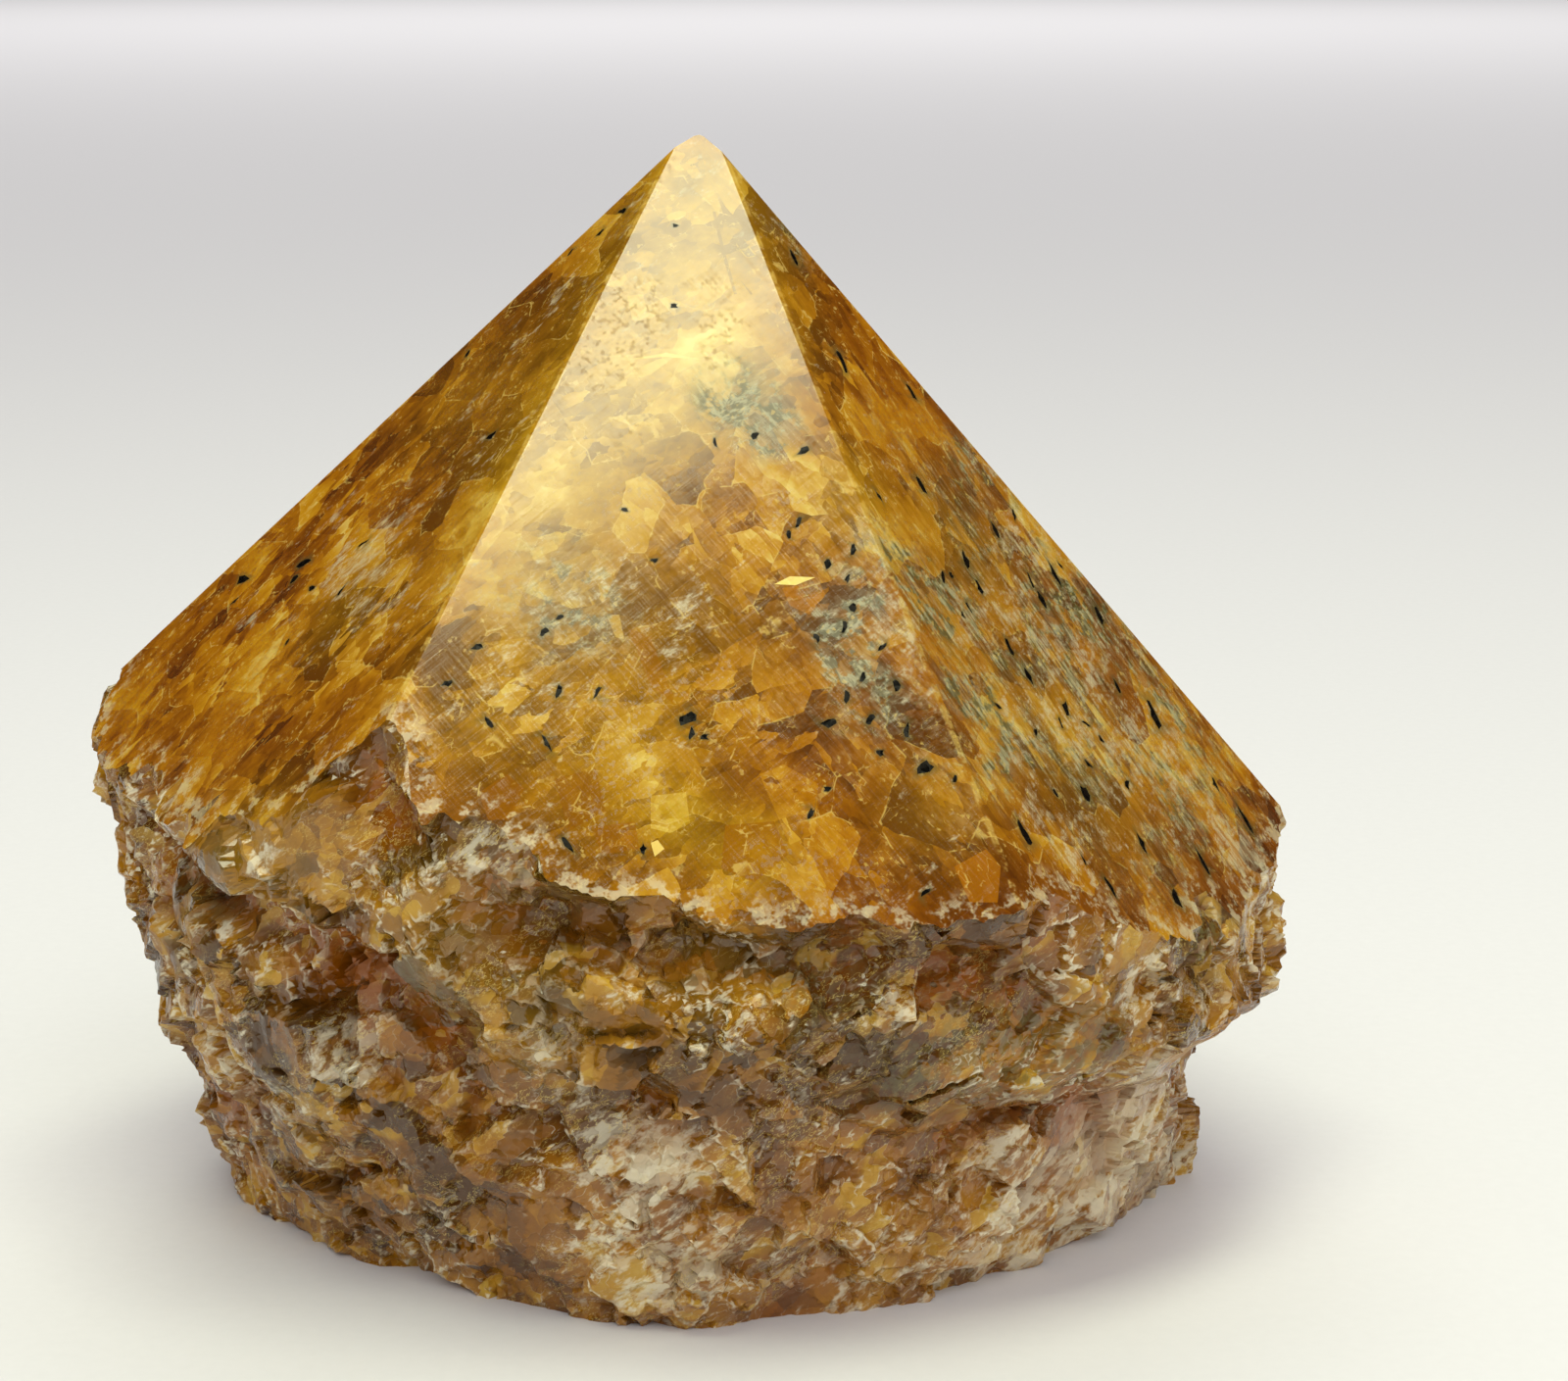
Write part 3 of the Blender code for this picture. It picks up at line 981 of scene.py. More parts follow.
@dataclass
class Stone:
    """The whole finished stone as one closed mesh.

    Attributes:
        view: Places the marks and washes that the photograph shows.
        lump: The broken stone.
        point: The ground facets.
        sides: The broken sides.
        specks: Dark grains, by facet name.
        marks: Patches with a crisp edge.
        spacing: Distance between corners on the facets.
        foot_spacing: Distance between corners on the sawn foot.
        foot_reach: Half width of the square over which they are spread.
        foot_clearance: Least distance of one from the foot's outline.
        halo_width: Width of the stain round a dark grain, as a multiple of the grain's.
        speck_clearance: Share of a grain's length, and more, that it keeps from a facet's outline.
        speck_gap: Least gap between two grains.
        mark_clearance: Least distance of a mark from a facet's outline.
        mark_shrink: Share of its size that a mark keeps each time that it is drawn in.
        rim_reach: Distance over which the finishes know how near the rim or an edge is.
        broken_top: Height up to which the smooth side is asked for.
        smooth_gap: How far outside the smooth side the hollows are measured from.
        facet_gap: Distance between two facets on the sheet on which the scratches are drawn.
        corners: Every corner, the sides' first.
        halo: Corners at the edge of a dark grain.
        tips: Corners at the tip.
        edges: Corners up each edge, by the plane before it.
        triangles: Corner numbers, one array for each part of the surface, as in the next four.
        finish: Finish of each triangle.
        light: How much paler each triangle is; over 0.9 the polished finish paints a glint there.
        warm: How much more orange each triangle is.
        drawn: Place of each triangle's corners on the sheet of scratches.
    """

    view: PhotoView
    lump: Lump
    point: Point
    sides: Sides
    specks: dict[str, list[Speck]]
    marks: tuple[Mark, ...]
    spacing: float = 0.85
    foot_spacing: float = 2.4
    foot_reach: float = 50.0
    foot_clearance: float = 1.0
    halo_width: float = 1.9
    speck_clearance: tuple[float, float] = (0.7, 0.4)
    speck_gap: float = 0.2
    mark_clearance: float = 0.25
    mark_shrink: float = 0.94
    rim_reach: float = 6.0
    broken_top: float = 59.0
    smooth_gap: float = 0.4
    facet_gap: float = 200.0
    corners: list[Array] = field(default_factory=list)
    halo: list[int] = field(default_factory=list)
    tips: list[int] = field(default_factory=list)
    edges: dict[int, list[int]] = field(default_factory=dict)
    triangles: list[Array] = field(default_factory=list)
    finish: list[Array] = field(default_factory=list)
    light: list[Array] = field(default_factory=list)
    warm: list[Array] = field(default_factory=list)
    drawn: list[Array] = field(default_factory=list)

    def add_corner(self, place: Array) -> int:
        """Keep a new corner and return its number."""
        self.corners.append(np.asarray(place, dtype=float))
        return len(self.corners) - 1

    def tip_corner(self, place: Array) -> int:
        """Number of the tip's corner at a place, which is kept if it is new."""
        for number in self.tips:
            if np.linalg.norm(self.corners[number] - place) < 1e-4:
                return number
        self.tips.append(self.add_corner(place))
        return self.tips[-1]

    def edge_corners(self, index: int, top: int) -> list[int]:
        """Corners up the edge after a plane, from the rim to the tip.

        Args:
            index: The plane before the edge.
            top: Number of the corner where the edge ends.

        Returns:
            Corner numbers, the same for both planes that share the edge.
        """
        if index not in self.edges:
            bottom = self.sides.corner_id(self.sides.edge_columns[index], self.sides.rows)
            start, end = self.corners[bottom], self.corners[top]
            count = max(int(np.linalg.norm(end - start) / self.spacing), 1)
            inner = [self.add_corner(start + (end - start) * step / count) for step in range(1, count)]
            self.edges[index] = [bottom, *inner, top]
        return self.edges[index]

    def outline(self, mesh: FacetMesh) -> list[int]:
        """Corner numbers round one plane: along the rim, up its right edge and down its left."""
        index, sides = mesh.index, self.sides
        before = (index - 1) % len(self.point.offsets)
        left, right = sides.edge_columns[before], sides.edge_columns[index]
        span = (right - left) % sides.columns
        rim = [sides.corner_id(left + step, sides.rows) for step in range(span + 1)]
        tips = self.point.tips(index)
        ends = np.stack([self.corners[rim[0]], self.corners[rim[-1]]])
        flat = mesh.flat(np.concatenate([ends, tips]))
        away = flat - flat.mean(axis=0)
        turn = np.arctan2(away[:, 1], away[:, 0])
        turn = (turn - turn[0]) % (2.0 * np.pi)
        ordered = [tips[place - 2] for place in np.argsort(turn) if place > 1]
        tops = [self.tip_corner(place) for place in ordered]
        rising = self.edge_corners(index, tops[0])
        falling = self.edge_corners(before, tops[-1])
        return rim + rising[1:] + tops[1:] + list(reversed(falling[1:-1]))

    def grind(self, index: int) -> None:
        """Mesh one ground plane, with its dark grains and its crisp marks."""
        mesh = FacetMesh(self.point, index, self.spacing)
        name = self.point.names[index]
        numbers = self.outline(mesh)
        outline = mesh.flat(np.array([self.corners[number] for number in numbers]))
        spots = [outline]
        shapes: list[list[int]] = [list(range(len(outline)))]
        kinds: list[tuple[Finish, float, float]] = [(Finish.GROUND, 0.0, 0.0)]
        halo = [np.zeros(len(outline))]
        count = len(outline)
        kept: list[Speck] = []
        share, margin = self.speck_clearance
        for speck in self.specks.get(name, []):
            middle = np.array(speck.middle)
            ring = speck.outline()
            clear = np.hypot(*(outline - middle).T).min() > share * speck.length + margin
            apart = [np.hypot(*(middle - np.array(other.middle))) - speck.length for other in kept]
            if not clear or min(apart, default=np.inf) < self.speck_gap or not self.holds(outline, middle):
                continue
            kept.append(speck)
            around_it = middle + (ring - middle) * self.halo_width
            spots += [ring, around_it]
            halo += [np.ones(len(ring)), np.zeros(len(ring))]
            shapes.append(list(range(count, count + len(ring))))
            kinds.append((Finish.DARK, 0.0, 0.0))
            count += 2 * len(ring)
        outward, offset = self.point.normals[index], self.point.offsets[index]
        for mark in self.marks:
            if mark.facet != name:
                continue
            patch = mesh.flat(self.view.onto_plane(np.array(mark.pixels, dtype=float), outward, offset))
            follow = np.roll(patch, -1, axis=0)
            if np.sum(patch[:, 0] * follow[:, 1] - follow[:, 0] * patch[:, 1]) < 0.0:
                patch = patch[::-1]
            patch = self.drawn_in(patch, outline)
            spots.append(patch)
            halo.append(np.zeros(len(patch)))
            shapes.append(list(range(count, count + len(patch))))
            kinds.append((Finish.GROUND, mark.light, mark.warm))
            count += len(patch)
        inner = mesh.inner(outline)
        if kept:
            middles = np.array([speck.middle for speck in kept])
            reach = np.array([0.5 * speck.length * self.halo_width for speck in kept])
            gaps = np.linalg.norm(inner[:, None] - middles[None], axis=2)
            inner = inner[(gaps > reach).all(axis=1)]
        spots.append(inner)
        halo.append(np.zeros(len(inner)))
        flat, shade = np.concatenate(spots), np.concatenate(halo)
        found = delaunay_2d_cdt([Vector(spot) for spot in flat.tolist()], [], shapes, 1, 1e-6)
        places, _, faces, origins, _, owners = found
        ids = []
        for place, origin in zip(places, origins):
            own = [number for number in origin if number < len(numbers)]
            if own:
                ids.append(numbers[own[0]])
                continue
            where = flat[origin[0]] if origin else np.array(place)
            ids.append(self.add_corner(mesh.lifted(where)))
            if origin and shade[origin[0]] > 0.0:
                self.halo.append(ids[-1])
        places = np.array([tuple(place) for place in places])
        triangles = self.keep_faces(ids, places, faces, 1.0)
        picked = [max(owner, default=0) for owner in owners]
        looks = np.array(kinds)[picked]
        dark = np.array([any(kinds[part][0] is Finish.DARK for part in owner) for owner in owners])
        self.finish.append(np.where(dark, Finish.DARK, Finish.GROUND))
        self.light.append(looks[:, 1])
        self.warm.append(looks[:, 2])
        self.drawn.append(places[triangles] + np.array([self.facet_gap * index, 0.0]))

    def keep_faces(self, ids: list[int], places: Array, faces: list, facing: float) -> Array:
        """Keep flat triangles, turned to face out.

        Args:
            ids: Number of each corner.
            places: Each corner in the plane.
            faces: Each triangle's corners, by their place in those two.
            facing: 1 where triangles that face out run anticlockwise in the plane, else -1.

        Returns:
            Each triangle's corners, by their place, in the order kept.
        """
        turned = np.array(faces)
        first, second, third = (places[turned[:, corner]] for corner in range(3))
        wrong = np.cross(second - first, third - first) * facing < 0.0
        turned[wrong] = turned[wrong][:, ::-1]
        self.triangles.append(np.array(ids)[turned])
        return turned

    def keep_plain(self, finish: Finish, drawn: Array) -> None:
        """Keep one finish for triangles that have no marks."""
        blank = np.zeros(len(drawn))
        self.finish.append(blank + finish)
        self.light.append(blank)
        self.warm.append(blank)
        self.drawn.append(drawn)

    @staticmethod
    def holds(outline: Array, place: Array) -> bool:
        """Whether a closed outline goes round a place."""
        follow = np.roll(outline, -1, axis=0)
        crosses = (outline[:, 1] > place[1]) != (follow[:, 1] > place[1])
        start, end = outline[crosses], follow[crosses]
        meets = start[:, 0] + (place[1] - start[:, 1]) / (end[:, 1] - start[:, 1]) * (end[:, 0] - start[:, 0])
        return bool((place[0] < meets).sum() % 2)

    def drawn_in(self, patch: Array, outline: Array) -> Array:
        """Patch shrunk about its middle until none of its sides crosses a plane's outline."""
        middle = patch.mean(axis=0)
        steps = np.linspace(0.0, 1.0, 13)[:-1, None, None]
        for _ in range(30):
            sides = (patch + steps * (np.roll(patch, -1, axis=0) - patch)).reshape(-1, 2)
            gaps = np.linalg.norm(sides[:, None] - outline[None], axis=2)
            if gaps.min() > self.mark_clearance and all(self.holds(outline, spot) for spot in sides):
                break
            patch = middle + self.mark_shrink * (patch - middle)
        return patch

    def saw_foot(self) -> None:
        """Mesh the sawn foot, from the sides' lowest corners."""
        rim = [self.sides.corner_id(column, 0) for column in range(self.sides.columns)]
        outline = np.array([self.corners[number] for number in rim])[:, :2]
        line = np.arange(-self.foot_reach, self.foot_reach, self.foot_spacing)
        across, along = np.meshgrid(line, line)
        grid = np.stack([across.ravel(), along.ravel()], axis=1)
        inner = [spot for spot in grid if np.hypot(*(outline - spot).T).min() > self.foot_clearance]
        inner = np.array([spot for spot in inner if self.holds(outline, spot)])
        flat = np.concatenate([outline, inner])
        shapes = [list(range(len(outline)))]
        found = delaunay_2d_cdt([Vector(spot) for spot in flat.tolist()], [], shapes, 1, 1e-6)
        places, _, faces, origins, _, _ = found
        ids = []
        for place, origin in zip(places, origins):
            if origin and origin[0] < len(rim):
                ids.append(rim[origin[0]])
            else:
                ids.append(self.add_corner(np.array([place[0], place[1], 0.0])))
        places = np.array([tuple(place) for place in places])
        triangles = self.keep_faces(ids, places, faces, -1.0)
        self.keep_plain(Finish.SAWN, places[triangles])

    def break_sides(self) -> None:
        """Mesh the broken sides, whose corners come first."""
        self.sides.build()
        self.corners = list(self.sides.corners)
        triangles = self.sides.triangles()
        self.triangles.append(triangles)
        places = self.sides.corners[triangles]
        turn = np.radians(azimuth_of(places) % 360.0) * self.lump.unrolled_radius
        self.keep_plain(Finish.BROKEN, np.stack([turn, places[..., 2]], axis=-1))

    def build(self, washes: tuple[tuple[Wash, Array, float, float], ...]) -> bpy.types.Object:
        """Make the mesh and everything that its finishes read from it.

        Args:
            washes: Patches of colour, each with its middle, reach and strength.

        Returns:
            The stone.
        """
        self.break_sides()
        for index in range(len(self.point.offsets)):
            self.grind(index)
        self.saw_foot()
        corners = np.array(self.corners)
        triangles = np.concatenate(self.triangles)
        mesh = bpy.data.meshes.new("calcite_stone")
        mesh.vertices.add(len(corners))
        mesh.loops.add(triangles.size)
        mesh.polygons.add(len(triangles))
        placed = (corners + np.array(FOOT_CENTRE_SHIFT)) * MILLIMETRE
        mesh.vertices.foreach_set("co", placed.astype(np.float32).ravel())
        mesh.loops.foreach_set("vertex_index", triangles.astype(np.int32).ravel())
        mesh.polygons.foreach_set("loop_start", np.arange(0, triangles.size, 3, dtype=np.int32))
        mesh.polygons.foreach_set("loop_total", np.full(len(triangles), 3, dtype=np.int32))
        mesh.polygons.foreach_set("material_index", np.concatenate(self.finish).astype(np.int32))
        mesh.update(calc_edges=True)
        mesh.shade_flat()
        self.keep(mesh, "light", "FACE", np.concatenate(self.light))
        self.keep(mesh, "warm", "FACE", np.concatenate(self.warm))
        tone = np.zeros(len(corners))
        tone[: len(self.sides.tone)] = self.sides.tone
        self.keep(mesh, "tone", "FACE", np.median(tone[triangles], axis=1))
        crush = np.zeros(len(corners))
        crush[: len(self.sides.tone)] = self.sides.crush()
        self.keep(mesh, "crush", "POINT", crush)
        # Depth under the smooth side, which the broken finish turns into painted shade and a painted glow in
        # the hollows.
        self.keep(mesh, "hollow", "POINT", self.hollow(corners))
        halo = np.zeros(len(corners))
        halo[self.halo] = 1.0
        self.keep(mesh, "halo", "POINT", halo)
        rim = [self.sides.corner_id(column, self.sides.rows) for column in range(self.sides.columns)]
        self.keep(mesh, "rim", "POINT", self.reach_of(rim, corners))
        edge = sorted({number for line in self.edges.values() for number in line})
        self.keep(mesh, "edge", "POINT", self.reach_of(edge, corners))
        for wash in Wash:
            value = np.zeros(len(corners))
            for kind, middle, reach, strength in washes:
                if kind is wash:
                    away = np.linalg.norm(corners - middle, axis=1) / reach
                    value = 1.0 - (1.0 - value) * (1.0 - strength * np.exp(-away * away))
            self.keep(mesh, wash.value, "POINT", value)
        drawn = mesh.attributes.new("drawn", "FLOAT2", "CORNER")
        drawn.data.foreach_set("vector", np.concatenate(self.drawn).astype(np.float32).ravel())
        return add_object("calcite_stone", mesh)

    @staticmethod
    def keep(mesh: bpy.types.Mesh, name: str, domain: str, values: Array) -> None:
        """Keep one value for each corner or triangle, for the finishes to read."""
        attribute = mesh.attributes.new(name, "FLOAT", domain)
        attribute.data.foreach_set("value", np.asarray(values, dtype=np.float32))

    def hollow(self, corners: Array) -> Array:
        """Depth of each corner under the smooth side, in millimetres.

        Args:
            corners: Every corner, one row each.

        Returns:
            Depth of each.
        """
        height = np.clip(corners[:, 2], 0.0, self.broken_top)
        smooth = self.lump.smooth_radius(azimuth_of(corners), height) + self.smooth_gap
        return smooth - np.linalg.norm(corners[:, :2], axis=1)

    def reach_of(self, numbers: list[int], corners: Array) -> Array:
        """Distance of each corner from the nearest of some, in millimetres, and no more than the rim's reach.

        Args:
            numbers: Numbers of the corners to measure from.
            corners: Every corner, one row each.

        Returns:
            Distance of each.
        """
        tree = KDTree(len(numbers))
        for number in numbers:
            tree.insert(self.corners[number], number)
        tree.balance()
        return np.minimum([tree.find(corner)[2] for corner in corners], self.rim_reach)


def tint(red: float, green: float, blue: float) -> tuple[float, float, float, float]:
    """Shader colour from screen values of 0 to 255."""
    linear = [((part / 255.0 + 0.055) / 1.055) ** 2.4 for part in (red, green, blue)]
    return (*linear, 1.0)


Socket = bpy.types.NodeSocket
Value = float | tuple | Socket


class Nodes:
    """Short calls for the nodes that the finishes use."""

    def __init__(self, tree: bpy.types.NodeTree) -> None:
        """Take over an empty or new tree."""
        self.tree = tree

    def add(self, kind: str, **settings: object) -> bpy.types.Node:
        """New node of a kind, with its settings."""
        node = self.tree.nodes.new(kind)
        for name, value in settings.items():
            setattr(node, name, value)
        return node

    def feed(self, socket: Socket, value: Value) -> None:
        """Link a socket to another, or set it to a constant."""
        if isinstance(value, bpy.types.NodeSocket):
            self.tree.links.new(value, socket)
        else:
            socket.default_value = value

    def math(self, operation: str, *values: Value, clamp: bool = False) -> Socket:
        """Result of a sum on single values."""
        node = self.add("ShaderNodeMath", operation=operation, use_clamp=clamp)
        for socket, value in zip(node.inputs, values):
            self.feed(socket, value)
        return node.outputs[0]

    def vector(self, operation: str, *values: Value) -> Socket:
        """Result of a sum on vectors."""
        node = self.add("ShaderNodeVectorMath", operation=operation)
        for socket, value in zip(node.inputs, values):
            self.feed(socket, value)
        return node.outputs[1 if operation in ("DOT_PRODUCT", "LENGTH") else 0]

    def scaled(self, vector: Value, factor: Value) -> Socket:
        """A vector times a number."""
        node = self.add("ShaderNodeVectorMath", operation="SCALE")
        self.feed(node.inputs[0], vector)
        self.feed(node.inputs["Scale"], factor)
        return node.outputs[0]

    def blend(self, factor: Value, low: Value, high: Value) -> Socket:
        """Colour between two, by a factor."""
        node = self.add("ShaderNodeMix", data_type="RGBA")
        self.feed(node.inputs[0], factor)
        self.feed(node.inputs[6], low)
        self.feed(node.inputs[7], high)
        return node.outputs[2]

    def between(self, value: Value, low: float, high: float, bottom: float = 0.0, top: float = 1.0) -> Socket:
        """A value's place between two limits, eased and clamped, stretched to a new range."""
        node = self.add("ShaderNodeMapRange", interpolation_type="SMOOTHSTEP")
        for socket, part in zip(node.inputs, (value, low, high, bottom, top)):
            self.feed(socket, part)
        return node.outputs[0]

    def times(self, *values: Value, clamp: bool = False) -> Socket:
        """Product of single values."""
        product = values[0]
        for value in values[1:]:
            product = self.math("MULTIPLY", product, value, clamp=clamp)
        return product

    def total(self, start: Value, *terms: tuple[Value, Value]) -> Socket:
        """Sum of a value and of each term's product."""
        for value, factor in terms:
            start = self.math("MULTIPLY_ADD", value, factor, start)
        return start

    def coat(self, colour: Value, over: Value, *masks: Value) -> Socket:
        """A colour covered with another by the product of masks."""
        return self.blend(self.times(*masks), colour, over)

    def noise(self, where: Socket, scale: float, detail: float, rough: float, part: str = "Fac") -> Socket:
        """Noise over a place in millimetres."""
        node = self.add("ShaderNodeTexNoise")
        for name, value in zip(("Vector", "Scale", "Detail", "Roughness"), (where, scale, detail, rough)):
            self.feed(node.inputs[name], value)
        return node.outputs[part]

    def cells(self, where: Socket, feature: str, metric: str) -> bpy.types.Node:
        """Cells round scattered points, one for each unit of length."""
        node = self.add("ShaderNodeTexVoronoi", feature=feature, distance=metric)
        self.feed(node.inputs["Vector"], where)
        self.feed(node.inputs["Scale"], 1.0)
        return node

    def turned(self, where: Socket, kind: str, **turn: Value) -> Socket:
        """Place turned about the origin."""
        node = self.add("ShaderNodeVectorRotate", rotation_type=kind)
        for name, value in {"Vector": where, **turn}.items():
            self.feed(node.inputs[name], value)
        return node.outputs[0]

    def ramp(self, value: Value, stops: tuple[tuple[float, tuple], ...]) -> Socket:
        """Colour from a ramp."""
        node = self.add("ShaderNodeValToRGB")
        while len(node.color_ramp.elements) < len(stops):
            node.color_ramp.elements.new(0.5)
        for element, (place, colour) in zip(node.color_ramp.elements, stops):
            element.position, element.color = place, colour
        self.feed(node.inputs[0], value)
        return node.outputs[0]

    def kept(self, name: str, vector: bool = False) -> Socket:
        """What the mesh keeps under a name."""
        node = self.add("ShaderNodeAttribute", attribute_name=name)
        return node.outputs["Vector" if vector else "Fac"]

    def millimetres(self) -> Socket:
        """Place on the stone in millimetres."""
        return self.scaled(self.add("ShaderNodeTexCoord").outputs["Object"], 1000.0)

    def combed(self, where: Socket, run: tuple[float, float, float], shrink: float) -> Socket:
        """Place turned until a direction lies along X and shrunk along it, which draws cells out that way.

        Args:
            where: Place on the stone.
            run: The direction.
            shrink: Scale along it.

        Returns:
            The new place.
        """
        axis, angle = Vector(run).rotation_difference(Vector((1.0, 0.0, 0.0))).to_axis_angle()
        turned = self.turned(where, "AXIS_ANGLE", Axis=axis, Angle=angle)
        return self.vector("MULTIPLY", turned, (shrink, 1.0, 1.0))

    def pick(self, factor: Value, first: Socket, second: Socket) -> Socket:
        """One vector or the other, by a factor of 0 or 1."""
        node = self.add("ShaderNodeMix", data_type="VECTOR")
        for socket, value in zip((node.inputs[0], node.inputs[4], node.inputs[5]), (factor, first, second)):
            self.feed(socket, value)
        return node.outputs[1]

    def group(self, tree: bpy.types.NodeTree, **values: Value) -> dict[str, Socket]:
        """Place a group, feed its inputs and return its outputs by name."""
        node = self.add("ShaderNodeGroup", node_tree=tree)
        for name, value in values.items():
            self.feed(node.inputs[name.replace("_", " ").capitalize()], value)
        return {socket.name: socket for socket in node.outputs}


class Groups:
    """The effects that more than one finish uses, each a node group built once."""

    def __init__(self) -> None:
        """Build every group."""
        self.grains = self.build_grains("crystal grains", "EUCLIDEAN", 0.06)
        self.blocks = self.build_grains("cleavage blocks", "CHEBYCHEV", 0.02)
        self.veils = self.build_veils()

    @staticmethod
    def start(name: str, inputs: dict[str, str], outputs: dict[str, str]) -> tuple:
        """New group with named sockets.

        Args:
            name: Name of the group.
            inputs: Kind of each input, by name.
            outputs: Kind of each output, by name.

        Returns:
            The tree, its short calls, its input node and its output node.
        """
        tree = bpy.data.node_groups.new(name, "ShaderNodeTree")
        for side, sockets in (("INPUT", inputs), ("OUTPUT", outputs)):
            for label, kind in sockets.items():
                tree.interface.new_socket(label, in_out=side, socket_type="NodeSocket" + kind)
        nodes = Nodes(tree)
        return tree, nodes, nodes.add("NodeGroupInput"), nodes.add("NodeGroupOutput")

    def build_grains(self, name: str, metric: str, seam_width: float) -> bpy.types.NodeTree:
        """Crystals of one size: a tone for each with painted shade across it by its lean, the seams between
        them and the lean of each face.

        Args:
            name: Name of the group.
            metric: How distance is measured, which makes round or square-cornered crystals.
            seam_width: Width of a seam, as a share of a crystal.

        Returns:
            The group.
        """
        tree, nodes, given, result = self.start(
            name,
            {"Where": "Vector", "Density": "Float", "Wander": "Float"},
            {"ToneAndShade": "Float", "Seam": "Float", "Lean": "Float"},
        )
        density = given.outputs["Density"]
        where = nodes.scaled(given.outputs["Where"], density)
        bent = nodes.vector("SUBTRACT", nodes.noise(where, 2.2, 1.0, 0.6, "Color"), (0.5, 0.5, 0.5))
        bent = nodes.vector("ADD", where, nodes.scaled(bent, given.outputs["Wander"]))
        cells = nodes.cells(bent, "F1", metric)
        beyond = nodes.cells(bent, "F2", metric)
        apart = nodes.vector("SUBTRACT", bent, cells.outputs["Position"])
        lean = nodes.vector("SUBTRACT", cells.outputs["Color"], (0.5, 0.5, 0.5))
        tilt = nodes.vector("DOT_PRODUCT", apart, lean)
        split = nodes.add("ShaderNodeSeparateColor")
        nodes.feed(split.inputs[0], cells.outputs["Color"])
        # Random tone of each crystal plus painted shade: lighter on one side and darker on the other, by the
        # lean of its face.
        tone = nodes.math("MULTIPLY_ADD", tilt, 1.3, split.outputs[0])
        gap = nodes.math("SUBTRACT", beyond.outputs["Distance"], cells.outputs["Distance"])
        nodes.feed(result.inputs["ToneAndShade"], tone)
        nodes.feed(result.inputs["Seam"], nodes.between(gap, 0.0, seam_width, 1.0, 0.0))
        nodes.feed(result.inputs["Lean"], tilt)
        return tree

    def build_veils(self) -> bpy.types.NodeTree:
        """White clouds and frayed threads, drawn out along the bedding of the stone."""
        tree, nodes, given, result = self.start(
            "white veils",
            {"Where": "Vector", "Amount": "Float"},
            {"Cloud": "Float", "Thread": "Float"},
        )
        turned = nodes.turned(given.outputs["Where"], "Y_AXIS", Angle=math.radians(38.0))
        where = nodes.vector("MULTIPLY", turned, (0.42, 0.7, 1.0))
        broad = nodes.noise(where, 0.2, 2.0, 0.6)
        fine = nodes.noise(where, 1.15, 3.0, 0.72)
        level = nodes.total(nodes.times(broad, 0.6), (fine, 0.9), (given.outputs["Amount"], 0.34))
        nodes.feed(result.inputs["Cloud"], nodes.between(level, 0.86, 1.02))
        ridge = nodes.math("ABSOLUTE", nodes.math("SUBTRACT", fine, 0.5))
        thread = nodes.between(ridge, 0.0, 0.02, 1.0, 0.0)
        thread = nodes.times(thread, nodes.between(broad, 0.4, 0.6))
        nodes.feed(result.inputs["Thread"], thread)
        return tree


